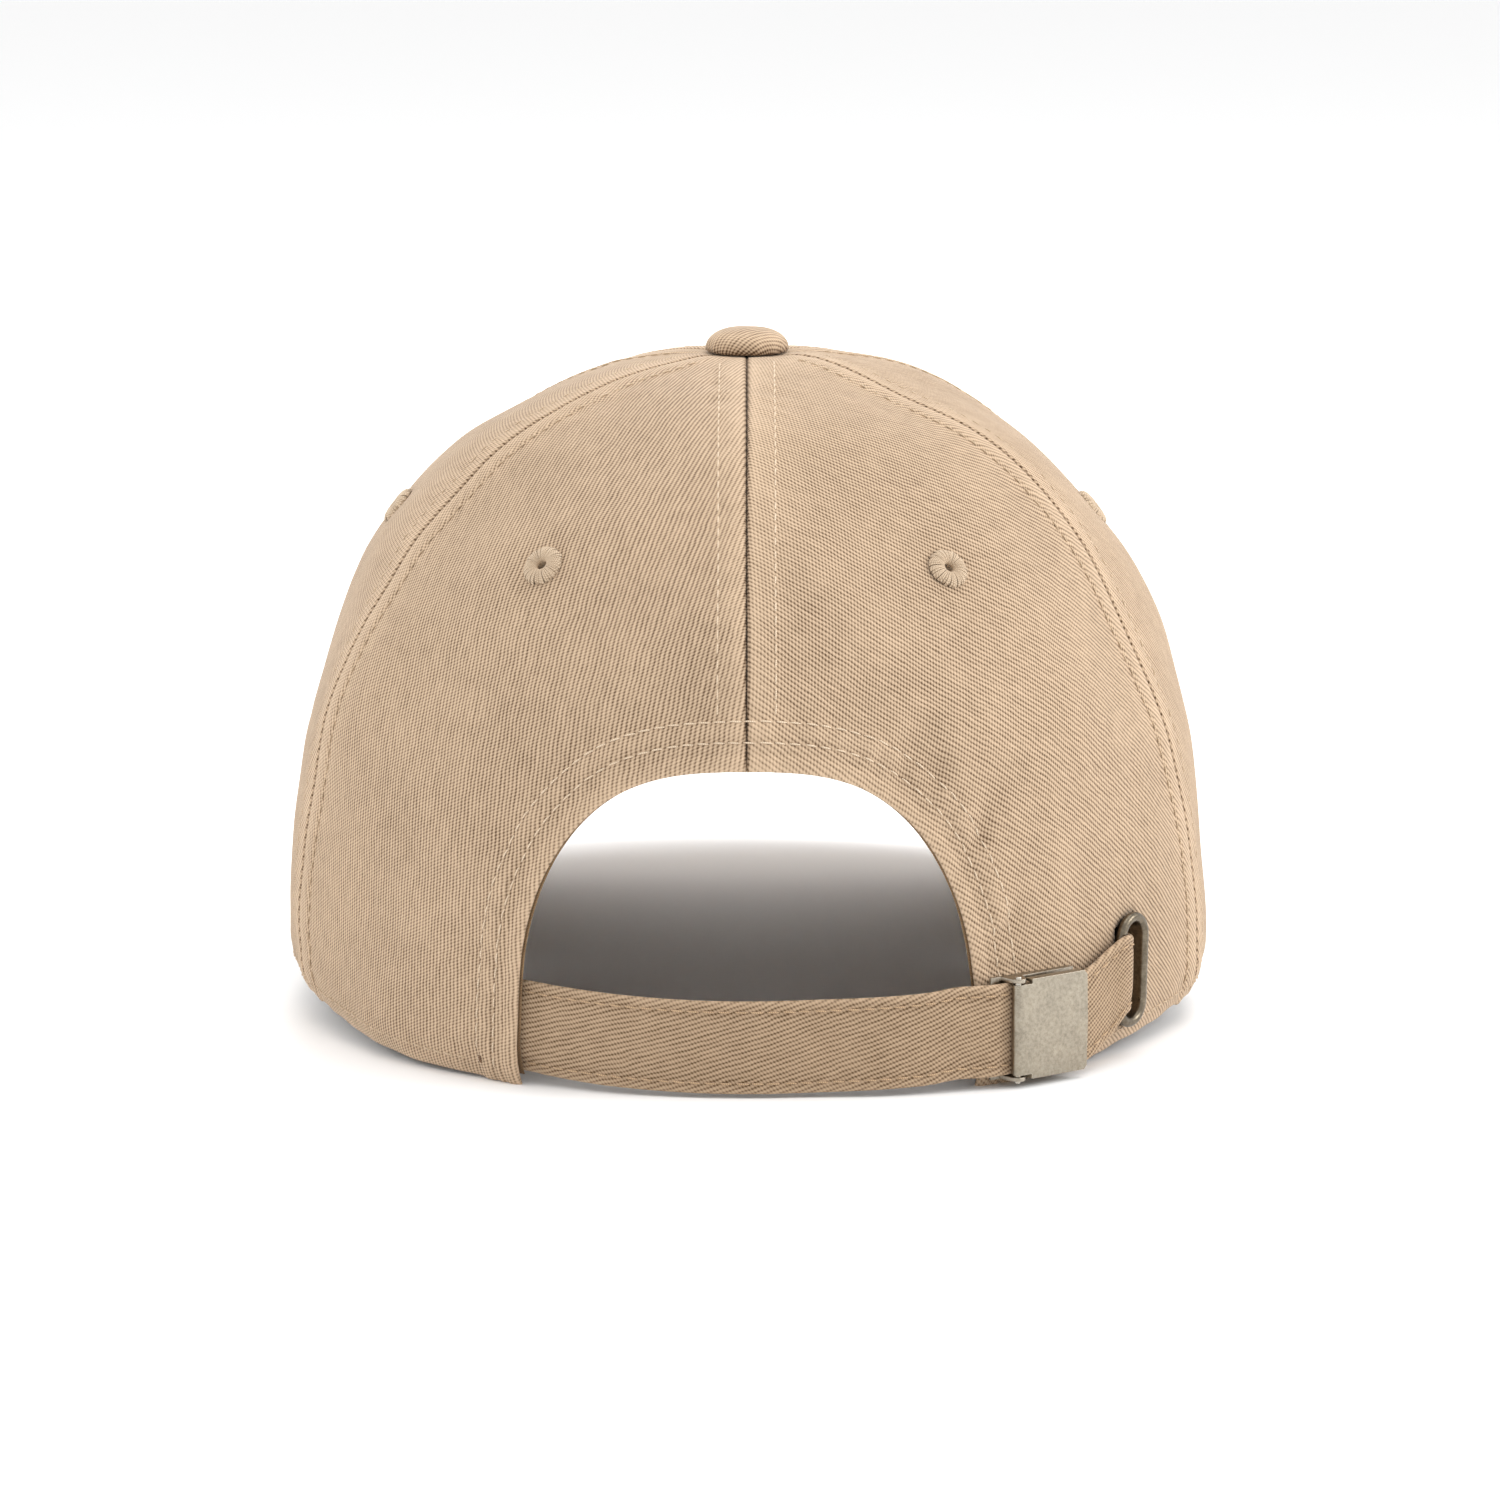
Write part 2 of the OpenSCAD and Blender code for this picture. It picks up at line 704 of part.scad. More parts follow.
function strap_path(k) =
  let(u = k * strap_width, zb = buckle_height + u, zs = slot_height + u)
  concat(
    [for (a = [-left_end : 2 : -opening_angle]) crown_plan(a, zb, zb, inside)],
    [for (i = [0 : 18]) opening_place(mixed(-27.5, 22, i / 18), k)],
    [
      in_buckle(-19.5, -0.35, zb),
      in_buckle(-17, 0.6, zb),
      in_buckle(-15, 1.45, zb),
      in_buckle(-13.3, 2.15, zb),
      in_buckle(-12, strap_out, zb),
      in_buckle(-4, strap_out, zb),
      in_buckle(4, strap_out, zb),
      in_buckle(9.5, strap_out, zb),
      in_slot(-9, 2.1, mixed(zb, zs, 0.5)),
      in_slot(-6.2, 2.75, mixed(zb, zs, 0.85) - 0.07 * u),
      in_slot(-4.6, 3.0, zs - 0.13 * u),
      in_slot(-3.3, 2.8, zs - 0.17 * u),
      in_slot(-2.15, 1.85, zs - 0.17 * u),
      in_slot(-1.1, 0.1, zs - 0.17 * u),
      in_slot(0.1, -1.6, zs - 0.17 * u),
      in_slot(1.6, -2.7, zs - 0.17 * u),
      in_slot(4, -3.05, zs - 0.15 * u),
      in_slot(6, -3.1, zs - 0.1 * u + 0.3)
    ],
    [for (a = [58.5 : 2 : 66.5]) crown_plan(a, zs - 0.05 * u + 1.0, zs + 1.0, inside + 0.05)]
  );

module strap() {
  color([0.64, 0.54, 0.43]) placed() band([for (k = band_levels) strap_path(k)], strap_thickness);
}

tab_width = 14.5;
// angle of the opening's right edge at height z
function hem_angle(z) =
  opening_angle * pow(1 - pow(z / (opening_level * crown_height), opening_power), 1 / opening_power);
tab_inside = lining_depth + lining_thickness + 0.5 + 0.2;
function tab_path(k) =
  let(z = buckle_height + k * tab_width)
  concat(
    [for (a = [38 : -2 : 30]) crown_plan(a, z, z, tab_inside)],
    [
      crown_plan(hem_angle(z) + 0.3, z, z, tab_inside),
      crown_plan(hem_angle(z) - 0.55, z, z, 1.6),
      crown_plan(hem_angle(z) - 0.8, z, z, 0.8),
      crown_plan(hem_angle(z) - 0.55, z, z, 0),
      crown_plan(hem_angle(z) + 0.3, z, z, -0.42),
      in_buckle(-12.6, -0.15, z),
      in_buckle(-11.5, 0.08, z),
      in_buckle(-10.4, 0.12, z),
      in_buckle(-10.0, 0.35, z),
      in_buckle(-9.85, 0.75, z),
      in_buckle(-10.0, 1.15, z),
      in_buckle(-10.4, 1.34, z),
      in_buckle(-11.5, 1.36, z),
      in_buckle(-12.7, 1.2, z),
      in_buckle(-13.2, 0.95, z)
    ]
  );

module buckle_tab() {
  color([0.64, 0.54, 0.43]) placed() band([for (k = band_levels) tab_path(k)], 0.4);
}

// ---- slot ring: a rounded rim outside, a neck through the cloth, a washer inside ----

module ring_sweep() {
  for (s = [0, 180]) {
    rotate([0, 0, s]) {
      translate([0, ring_half_straight, 0]) rotate_extrude(angle = 180, $fn = 64) children();
      translate([0, -ring_half_straight, 0]) rotate([-90, 0, 0]) rotate([0, 0, 0])
        linear_extrude(height = 2 * ring_half_straight) mirror([0, 1]) children();
    }
  }
}

module ring_profile() {
  translate([ring_centre_radius, 1.15]) circle(r = ring_section, $fn = 32);
  translate([ring_inner_radius, -2.25]) square([0.6, 3.4]);
}

module slot_ring() {
  color([0.47, 0.43, 0.37]) placed() on_rim(slot_angle, slot_height)
    rotate([90 + slot_lean, 0, 0]) ring_sweep() ring_profile();
}

module slot_washer() {
  color([0.47, 0.43, 0.37]) placed() on_rim(slot_angle, slot_height)
    rotate([90 + slot_lean, 0, 0]) ring_sweep()
      translate([ring_inner_radius + 0.7, -2.25]) square([1.2, 0.35]);
}

// ---- buckle ----

module at_buckle() {
  placed() on_rim(buckle_angle, buckle_height) rotate([90, 0, 0]) children();
}

// in the buckle's frame X runs along the strap, Y up, Z outwards
module plate(x0, x1, y, z0, z1) {
  translate([x0, -y, z0]) cube([x1 - x0, 2 * y, z1 - z0]);
}

module buckle_frame() {
  ear_mid = (ear_inner + 0.05 + cover_width / 2) / 2;
  color([0.5, 0.46, 0.4]) at_buckle() difference() {
    union() {
      plate(-12.2, cover_length - 9.2, cover_width / 2 + 0.2, 0.45, 1.05);
      for (s = [-1, 1]) {
        translate([-10, s * (cover_width / 2 - 0.15), 0.5]) rotate([90, 0, 0])
          linear_extrude(height = 0.7, center = true)
            polygon([[0, 0], [cover_length + 0.6, 0], [cover_length + 0.6, 1.6], [4.2, 1.9], [2.7, 4.6], [1.9, 5], [0.9, 4.8], [0.2, 3.6]]);
      }
    }
    plate(-10.9, -9.3, 8, -1, 1.5);
    translate([pin_x, 0, pin_out]) rotate([90, 0, 0])
      cylinder(r = pin_radius + 0.02, h = 40, center = true, $fn = 32);
  }
}

module buckle_pin() {
  color([0.66, 0.62, 0.55]) at_buckle() translate([pin_x, 0, pin_out]) rotate([90, 0, 0])
    cylinder(r = pin_radius, h = cover_width + 1.2, center = true, $fn = 32);
}

module buckle_cover() {
  half_high = cover_width / 2;
  inner_high = half_high - 0.9;
  z1 = pin_out + barrel_radius;
  color([0.63, 0.58, 0.5]) at_buckle() translate([pin_x, 0, 0]) rotate([0, 0, 0])
    translate([0, 0, pin_out]) rotate([0, -cover_open, 0]) translate([0, 0, -pin_out]) difference() {
      union() {
        translate([0, 0, pin_out]) rotate([90, 0, 0])
          cylinder(r = barrel_radius, h = 2 * inner_high, center = true, $fn = 48);
        plate(0, 3, inner_high, z1 - cover_metal, z1);
        translate([0, 0, z1 - cover_metal]) linear_extrude(height = cover_metal) polygon([
          [2.6, -half_high],
          [cover_length - 0.9, -half_high],
          [cover_length - 0.2, -half_high + 0.8],
          [cover_length, 0],
          [cover_length - 0.2, half_high - 0.8],
          [cover_length - 0.9, half_high],
          [2.6, half_high]
        ]);
        for (s = [-1, 1]) {
          translate([2.6, s * (half_high - 0.3), z1 - 1.9]) translate([0, -0.3, 0])
            cube([cover_length - 3.6, 0.6, 1.5]);
        }
        plate(1.3, 2.3, inner_high - 0.6, pin_out - 0.85, z1 - 0.4);
      }
      translate([0, 0, pin_out]) rotate([90, 0, 0])
        cylinder(r = hinge_radius, h = 40, center = true, $fn = 48);
    }
}

front_panel_left();
front_panel_right();
side_panel_left();
side_panel_right();
back_panel_left();
back_panel_right();
buckram_left();
buckram_right();
tape_front();
tape_front_left();
tape_front_right();
tape_rear_left();
tape_rear_right();
tape_rear();
opening_binding();
sweatband();
visor_board();
visor_top_cover();
visor_under_cover();
button_cover();
button_core();
button_pin();
button_back();
eyelet_front_left();
eyelet_front_right();
eyelet_side_left();
eyelet_side_right();
eyelet_back_left();
eyelet_back_right();
strap();
slot_ring();
slot_washer();
buckle_tab();
buckle_frame();
buckle_pin();
buckle_cover();
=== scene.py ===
import json
import math

import bmesh
import bpy
import numpy as np
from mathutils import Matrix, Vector

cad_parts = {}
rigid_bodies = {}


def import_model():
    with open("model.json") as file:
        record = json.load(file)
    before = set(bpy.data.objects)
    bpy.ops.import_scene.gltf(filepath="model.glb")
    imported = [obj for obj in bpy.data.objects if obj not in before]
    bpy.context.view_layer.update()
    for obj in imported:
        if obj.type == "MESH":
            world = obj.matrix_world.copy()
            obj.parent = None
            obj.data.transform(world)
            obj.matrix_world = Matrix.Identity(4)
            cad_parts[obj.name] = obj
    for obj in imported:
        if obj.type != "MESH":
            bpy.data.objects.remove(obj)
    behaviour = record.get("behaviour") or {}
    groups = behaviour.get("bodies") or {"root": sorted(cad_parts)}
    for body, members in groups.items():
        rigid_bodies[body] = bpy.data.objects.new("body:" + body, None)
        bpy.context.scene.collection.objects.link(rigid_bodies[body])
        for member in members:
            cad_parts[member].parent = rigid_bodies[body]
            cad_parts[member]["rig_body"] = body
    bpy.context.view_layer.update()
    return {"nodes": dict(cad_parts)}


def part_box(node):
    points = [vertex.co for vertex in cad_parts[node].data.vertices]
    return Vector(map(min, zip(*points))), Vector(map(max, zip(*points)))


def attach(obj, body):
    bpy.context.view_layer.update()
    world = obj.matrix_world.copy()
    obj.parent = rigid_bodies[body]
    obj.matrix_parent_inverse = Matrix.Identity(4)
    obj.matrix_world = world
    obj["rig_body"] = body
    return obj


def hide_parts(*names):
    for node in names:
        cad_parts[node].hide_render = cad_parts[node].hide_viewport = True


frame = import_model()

MM = 0.001
DEG = math.pi / 180

# ------------------------------------------------------------------ dimensions, mm and degrees
# The same driving dimensions as the CAD part: the cloth skins follow the solids' own surfaces.
HALF_W, REAR_D, FRONT_D, TOP_Z, TOP_FWD = 85.5, 91.0, 98.0, 125.0, 5.0
TILT, TUCK, FULL, RIDGE = 4.5, 0.03, 0.07, 0.006
SIDE_M, REAR_M, FRONT_M, TOP_N, REAR_N = 2.5, 3.2, 3.1, 2.2, 2.0
REAR_RIM, REAR_TOP, FRONT_RIM, FRONT_TOP = 75.0, 62.0, 121.0, 119.0
ARCH_A, ARCH_L, ARCH_P = 28.7, 0.482, 2.7
REACH, VIS_HW, VIS_END, VIS_P, CAMBER, SLOPE = 70.0, 88.0, 68.0, 2.15, 0.0045, 0.12
VIS_T = 3.8
STRAP_W, STRAP_T, STRAP_H = 17.2, 1.3, 9.3
BUCKLE_A, BUCKLE_H, SLOT_A, SLOT_H = 37.4, 10.9, 53.3, 16.7
EYELET_L = 0.745
HEM_Y = -REAR_D * math.cos(ARCH_A * DEG)

end_x = HALF_W * math.sin(VIS_END * DEG)
end_y = FRONT_D * math.cos(VIS_END * DEG)
OUT_END = 180 - math.asin((end_x / VIS_HW) ** (VIS_P / 2)) / DEG
back_reach = (-math.cos(OUT_END * DEG)) ** (2 / VIS_P)
VIS_HL = (FRONT_D + REACH - end_y) / (1 + back_reach)
VIS_MY = FRONT_D + REACH - VIS_HL


def smooth(v):
    c = np.clip(v, 0.0, 1.0)
    return c * c * (3 - 2 * c)


def mixed(a, b, w):
    return a + (b - a) * w


# ------------------------------------------------------------------ visor surface
def spow(v, p):
    return np.sign(v) * np.abs(v) ** p


def visor_rise(x, y):
    return -CAMBER * x * x + SLOPE * (FRONT_D - y)


def visor_normal(x):
    n = np.stack([2 * CAMBER * x, np.full_like(x, SLOPE), np.ones_like(x)], -1)
    return n / np.linalg.norm(n, axis=-1, keepdims=True)


def visor_plan(t, share, inset):
    a = t * VIS_END * DEG
    root = np.stack([(HALF_W - 2.9) * np.sin(a), (FRONT_D - 2.9) * np.cos(a)], -1)
    b = t * OUT_END * DEG
    edge = np.stack([VIS_HW * spow(np.sin(b), 2 / VIS_P),
            VIS_MY + VIS_HL * spow(np.cos(b), 2 / VIS_P)], -1)
    length = np.maximum(np.linalg.norm(edge - root, axis=-1), 0.01)
    w = share * (1 - np.minimum(inset / length, 0.6))
    return root + (edge - root) * w[..., None]


def lowest_edge():
    t = -0.985 + 1.97 * np.arange(41) / 40
    low = 1e9
    for a in (0, 22.5, 45, 67.5, 90):
        h = VIS_T / 2
        p = visor_plan(t, np.ones_like(t), np.full_like(t, h * (1 - math.sin(a * DEG))))
        z = visor_rise(p[:, 0], p[:, 1]) - visor_normal(p[:, 0])[:,
                2] * h * (1 + math.cos(a * DEG))
        low = min(low, float(z.min()))
    return low


ROOT_Z = -lowest_edge()
Y_MID = FRONT_D + REACH - 0.22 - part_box("visor_top_cover")[1][1] * 1000 + 0.0


def visor_at(t, share, inset, depth):
    p = visor_plan(t, share, inset)
    q = np.concatenate([p, (ROOT_Z + visor_rise(p[..., 0], p[..., 1]))[..., None]], -1)
    return q - visor_normal(p[..., 0]) * np.asarray(depth)[..., None]


# ------------------------------------------------------------------ crown surface
def wrapped(th):
    return (np.asarray(th, float) + 180.0) % 360.0 - 180.0


def rear_seam(e):
    return mixed(REAR_RIM, REAR_TOP, e)


def front_seam(e):
    return mixed(FRONT_RIM, FRONT_TOP, e)


def rim_xy(th):
    c = np.cos(th * DEG)
    return HALF_W * np.sin(th * DEG), -np.where(c > 0, REAR_D, FRONT_D) * c


def rim_z(th):
    x, y = rim_xy(th)
    k = 1 - 1.2 / HALF_W
    w = smooth((np.abs(wrapped(th)) - 88) / 20)
    return mixed((y - HEM_Y) * math.tan(TILT * DEG), ROOT_Z + visor_rise(x * k, y * k) + 0.2, w)


def panel_share(th, e):
    a, r, f = np.abs(wrapped(th)), rear_seam(e), front_seam(e)
    return np.where(a < r, a / r, np.where(a < f, (a - r) / (f - r), (a - f) / (180 - f)))


def crown_share(th, e):
    c = np.cos(th * DEG)
    w = c * c
    m = mixed(SIDE_M, np.where(c > 0, REAR_M, FRONT_M), w)
    n = mixed(TOP_N, np.where(c > 0, REAR_N, TOP_N), w)
    u = np.clip((e - FULL) / (1 - FULL), 0, 1)
    d = np.maximum(0, (FULL - e) / FULL)
    ridge = 1 + RIDGE * np.cos(2 * math.pi * panel_share(th, e)) * np.sin(math.pi
            * np.clip(e, 0, 1) ** 0.8)
    return (1 - u ** m) ** (1 / n) * (1 - TUCK * d * d) * ridge


def crown_point(th, e):
    th, e = np.broadcast_arrays(np.asarray(th, float), np.asarray(e, float))
    q = crown_share(th, e)
    x, y = rim_xy(th)
    z0 = rim_z(th)
    f = (1 + TUCK) * q
    return np.stack([x * f, TOP_FWD * (1 - q) + y * f, z0 + (TOP_Z - z0) * e], -1)


def crown_normal(th, e):
    hi = np.minimum(e + 0.004, 0.99995)
    lo = np.minimum(e, 0.9997) - 0.004
    du = crown_point(th + 0.5, e) - crown_point(th - 0.5, e)
    dv = crown_point(th, hi) - crown_point(th, lo)
    n = np.cross(du, dv)
    return n / np.linalg.norm(n, axis=-1, keepdims=True)


def crown_at(th, e, d):
    th, e, d = np.broadcast_arrays(np.asarray(th, float), np.asarray(e, float),
            np.asarray(d, float))
    return crown_point(th, e) - crown_normal(th, e) * d[..., None]


def share_at(th, z):
    return (z - rim_z(th)) / (TOP_Z - rim_z(th))


def level(s):
    return FULL + (1 - FULL) * np.sin(90 * DEG * np.asarray(s, float) ** 1.25) ** (2 / SIDE_M)


def mm_per_degree(th, e):
    return np.linalg.norm(crown_point(th + 0.5, e) - crown_point(th - 0.5, e), axis=-1)


# ------------------------------------------------------------------ smooth repeatable noise
def waves(p, scale, seed, octaves=3):
    rng = np.random.RandomState(seed)
    total = np.zeros(p.shape[:-1])
    amp, norm = 1.0, 0.0
    for o in range(octaves):
        for _ in range(5):
            d = rng.normal(size=3)
            d /= np.linalg.norm(d)
            f = 2 * math.pi / scale * (2 ** o) * rng.uniform(0.7, 1.3)
            total += amp * np.sin(p @ d * f + rng.uniform(0, 2 * math.pi))
        norm += amp * 1.6
        amp *= 0.5
    return total / norm


# ------------------------------------------------------------------ the cloth's relief
# mm from the middle of the opening to its side and to its top
ARCH_SIDE, ARCH_RISE = 44.3, 60.2


def arch_measure(th, e):
    """Distance in mm outside the rear opening's edge, and share of the way to its side."""
    a = np.maximum(np.abs(wrapped(th)), 1e-6) / ARCH_A
    h = np.maximum(e, 1e-6) / ARCH_L
    fp = a ** ARCH_P + h ** ARCH_P
    f = fp ** (1 / ARCH_P)
    tx = a ** ARCH_P / fp
    return (f - 1) * (ARCH_SIDE * tx + ARCH_RISE * (1 - tx)), tx


def arch_place(angle, d):
    """A point d mm outside the opening's edge; angle -90 left hem, 0 top, 90 right hem."""
    s, c = np.sin(angle * DEG), np.cos(angle * DEG)
    tx = s * s
    f = 1 + d / (ARCH_SIDE * tx + ARCH_RISE * (1 - tx))
    return ARCH_A * f * spow(s, 2 / ARCH_P), ARCH_L * f * np.maximum(c, 0) ** (2 / ARCH_P)


SEAM_ROW = 5.2
HEM_ROWS = (5.0, 8.6)


SHARED_SWAY = 0.35  # mm: the most that the layers inside follow the outer cloth


def sway(th, e):
    """The slow rise and fall that all layers of the cap share, mm."""
    p = crown_point(th, e)
    away = smooth(mm_per_degree(th, e) * 60 / 14 - 0.3)
    return 0.75 * waves(p, 62, 11, 2) * smooth(away * 1.2)


def relief(th, e):
    """How far the cloth stands out from the plain surface, mm."""
    th = wrapped(th)
    e = np.asarray(e, float)
    p = crown_point(th, e)
    k = mm_per_degree(th, e)
    a = np.abs(th)
    h = np.zeros_like(a)
    away = smooth(mm_per_degree(th, e) * 60 / 14 - 0.3)
    for seam, seed in ((0 * e, 3), (rear_seam(e), 5), (front_seam(e), 7), (180 + 0 * e, 9)):
        d = np.abs(a - seam) * k
        s = p[..., 2] * 0.9 + p[..., 1] * 0.6 + p[..., 0] * 0.35
        puck = np.sin(2 * math.pi * s / 6.3 + 1.7 * waves(p, 23, seed, 2)) * (0.6
                + 0.4 * waves(p, 31, seed + 40, 2))
        raise_ = 0.40 * (1 - smooth((d - SEAM_ROW + 0.5) / 1.6))
        row = -0.24 * np.exp(-((d - SEAM_ROW) / 0.6) ** 2)
        groove = -0.62 * np.exp(-(d / 0.34) ** 2)
        ripple = 0.13 * puck * np.exp(-((d - SEAM_ROW) / 3.4) ** 2)
        h += (raise_ + row + ripple) * away + groove * (0.35 + 0.65 * away)
    d, tx = arch_measure(th, e)
    near = (a < 60) & (e < 0.75)
    side = np.where(th > 0, 1.0, 0.45)
    along = np.arctan2(np.sqrt(tx), np.sqrt(1 - tx)) / DEG
    fold = np.sin(along * 0.30 + 1.3 * waves(p, 26, 21, 2) + 0.5)
    arch = 0.42 * (1 - smooth((d - HEM_ROWS[1] + 0.4) / 1.6))
    arch -= 0.26 * np.exp(-((d - HEM_ROWS[0]) / 0.6) ** 2) + 0.24 * np.exp(-((d - HEM_ROWS[1])
            / 0.6) ** 2)
    arch += 0.26 * np.exp(-((d - 1.5) / 1.1) ** 2) - 0.20 * np.exp(-((d - 3.2) / 0.5) ** 2)
    arch += 0.50 * side * fold * np.exp(-((d - 8.5) / 5.5) ** 2) * smooth(tx * 6)
    arch += 0.22 * side * np.sin(along * 0.95
            + 2.0 * waves(p, 17, 22, 2)) * np.exp(-((d - 6.5) / 3.0) ** 2)
    h += np.where(near, arch, 0)
    up = (e * (TOP_Z - rim_z(th)))
    h += 0.22 * (1 - smooth((up - 3.6) / 1.6)) - 0.13 * np.exp(-((up - 3.4) / 0.6) ** 2)
    h += 0.10 * waves(p, 9, 31, 1) * (1 - smooth((up - 5) / 6))
    h += sway(th, e) + 0.10 * waves(p, 21, 12, 2)
    # the eyelets pull the cloth in a little
    for mid in (rear_seam(EYELET_L) / 2, (rear_seam(EYELET_L) + front_seam(EYELET_L)) / 2,
            (front_seam(EYELET_L) + 180) / 2):
        c = crown_point(mid, EYELET_L)
        r = np.sqrt((np.abs(p[..., 0]) - c[0]) ** 2 + (p[..., 1] - c[1]) ** 2
                + (p[..., 2] - c[2]) ** 2)
        h -= 0.34 * np.exp(-(r / 5.2) ** 2)
    return h


def skin(th, e, d=0.0):
    """Cloth surface with its relief; d is the depth below the outer face, mm."""
    return crown_at(th, e, np.asarray(d, float) - relief(th, e))


# ------------------------------------------------------------------ mesh making
def as_object(name, verts, faces, mats, weave=None, wear_and_shade=None):
    me = bpy.data.meshes.new(name)
    v = np.asarray(verts, float).reshape(-1, 3).copy()
    v[:, 1] -= Y_MID
    me.from_pydata((v * MM).tolist(), [], [tuple(int(i) for i in f) for f in faces])
    me.update()
    if weave is not None:
        a = me.attributes.new("weave", "FLOAT_VECTOR", "POINT")
        a.data.foreach_set("vector", np.asarray(weave, float).reshape(-1, 3).ravel())
    if wear_and_shade is not None:
        a = me.attributes.new("wear_and_shade", "FLOAT", "POINT")
        a.data.foreach_set("value", np.asarray(wear_and_shade, float).ravel())
    me.polygons.foreach_set("use_smooth", [True] * len(me.polygons))
    ob = bpy.data.objects.new(name, me)
    bpy.context.scene.collection.objects.link(ob)
    for m in (mats if isinstance(mats, (list, tuple)) else [mats]):
        me.materials.append(m)
    return ob


def grid_faces(nr, nc):
    """Quads of a closed thin sheet: outer grid, then inner grid, rows up and columns to the right."""
    n = nr * nc
    i, j = np.meshgrid(np.arange(nr - 1), np.arange(nc - 1), indexing="ij")
    a = (i * nc + j).ravel()
    quads = [np.stack([a, a + 1, a + nc + 1, a + nc], -1),
            np.stack([n + a, n + a + nc, n + a + nc + 1, n + a + 1], -1)]
    j = np.arange(nc - 1)
    t = (nr - 1) * nc + j
    quads.append(np.stack([j + 1, j, n + j, n + j + 1], -1))
    quads.append(np.stack([t, t + 1, n + t + 1, n + t], -1))
    i = np.arange(nr - 1) * nc
    quads.append(np.stack([i, i + nc, n + i + nc, n + i], -1))
    r = i + nc - 1
    quads.append(np.stack([r + nc, r, n + r, n + r + nc], -1))
    return np.concatenate(quads)


def edge_steps(n, width, roll=0.8):
    """n+8 shares from 0 to 1, with close steps at both ends so that the edge can roll over."""
    w = np.maximum(np.asarray(width, float), 1e-3)
    s = np.minimum(1.0, w / 16.0)
    close = np.array([0.0, 0.06, 0.2, 0.45, 0.8]) * roll
    mid = np.linspace(0, 1, n + 2)[1:-1]
    lo = (close[None, :] * s[:, None]) / w[:, None]
    start = lo[:, -1:]
    core = start + (1 - 2 * start) * mid[None, :]
    return np.concatenate([lo, core, 1 - lo[:, ::-1]], 1)


def dense_steps(width, fine_zone, fine, coarse, roll=0.8, both=True):
    """Shares from 0 to 1: a rolled edge, a finely stepped zone beside it, then wider steps."""
    close = np.array([0.0, 0.06, 0.2, 0.45, 0.8]) * roll
    a = np.concatenate([close, np.arange(close[-1] + fine, fine_zone, fine)])
    if both:
        mid = np.linspace(a[-1], width - a[-1], max(3, int((width - 2 * a[-1]) / coarse)))[1:-1]
        full = np.concatenate([a, mid, width - a[::-1]])
    else:
        end = np.array([0.8, 0.4, 0.15, 0.0])
        mid = np.linspace(a[-1], width - end[0], max(3, int((width - a[-1]) / coarse)))[1:-1]
        full = np.concatenate([a, mid, width - end])
    return full / width


def roll_depth(dist, t):
    """Depth added to the outer face (and taken off the inner one) near a rolled edge."""
    r = t / 2
    x = np.clip(1 - dist / r, 0, 1)
    return r - np.sqrt(np.maximum(r * r - (x * r) ** 2, 0)) * 0.995


# ------------------------------------------------------------------ materials
def new_material(name):
    m = bpy.data.materials.new(name)
    m.use_nodes = True
    nt = m.node_tree
    nt.nodes.clear()
    out = nt.nodes.new("ShaderNodeOutputMaterial")
    bsdf = nt.nodes.new("ShaderNodeBsdfPrincipled")
    nt.links.new(bsdf.outputs[0], out.inputs[0])
    return m, nt, bsdf


class Nodes:
    """Short names for building node trees."""

    def __init__(self, nt):
        self.nt = nt

    def add(self, kind, **props):
        n = self.nt.nodes.new(kind)
        for k, v in props.items():
            setattr(n, k, v)
        return n

    def link(self, a, b):
        self.nt.links.new(a, b)

    def put(self, socket, v):
        if hasattr(v, "is_output"):
            self.link(v, socket)
        else:
            socket.default_value = v

    def math(self, op, a, b=0.0, c=0.0):
        n = self.add("ShaderNodeMath", operation=op)
        self.put(n.inputs[0], a)
        self.put(n.inputs[1], b)
        if op == "MULTIPLY_ADD":
            self.put(n.inputs[2], c)
        return n.outputs[0]

    def range(self, v, a, b, c, d):
        n = self.add("ShaderNodeMapRange", clamp=True)
        self.put(n.inputs["Value"], v)
        n.inputs["From Min"].default_value = a
        n.inputs["From Max"].default_value = b
        n.inputs["To Min"].default_value = c
        n.inputs["To Max"].default_value = d
        return n.outputs[0]

    def noise(self, vec, scale, detail=2.0, rough=0.5):
        n = self.add("ShaderNodeTexNoise")
        self.link(vec, n.inputs["Vector"])
        n.inputs["Scale"].default_value = scale
        n.inputs["Detail"].default_value = detail
        n.inputs["Roughness"].default_value = rough
        return n.outputs[0]

    def mix(self, f, a, b, mode="MIX"):
        n = self.add("ShaderNodeMix", data_type="RGBA", blend_type=mode)
        self.put(n.inputs[0], f)
        self.put(n.inputs[6], a)
        self.put(n.inputs[7], b)
        return n.outputs[2]

    def split(self, vec):
        n = self.add("ShaderNodeSeparateXYZ")
        self.link(vec, n.inputs[0])
        return n.outputs

    def join(self, x, y, z):
        n = self.add("ShaderNodeCombineXYZ")
        for i, v in enumerate((x, y, z)):
            self.put(n.inputs[i], v)
        return n.outputs[0]

    def bump(self, height, strength, distance, normal=None):
        n = self.add("ShaderNodeBump")
        n.inputs["Strength"].default_value = strength
        n.inputs["Distance"].default_value = distance
        self.link(height, n.inputs["Height"])
        if normal is not None:
            self.link(normal, n.inputs["Normal"])
        return n.outputs[0]


def rgb(r, g, b):
    return (r, g, b, 1.0)


def srgb(r, g, b):
    def f(v):
        v /= 255
        return v / 12.92 if v <= 0.04045 else ((v + 0.055) / 1.055) ** 2.4
    return rgb(f(r), f(g), f(b))


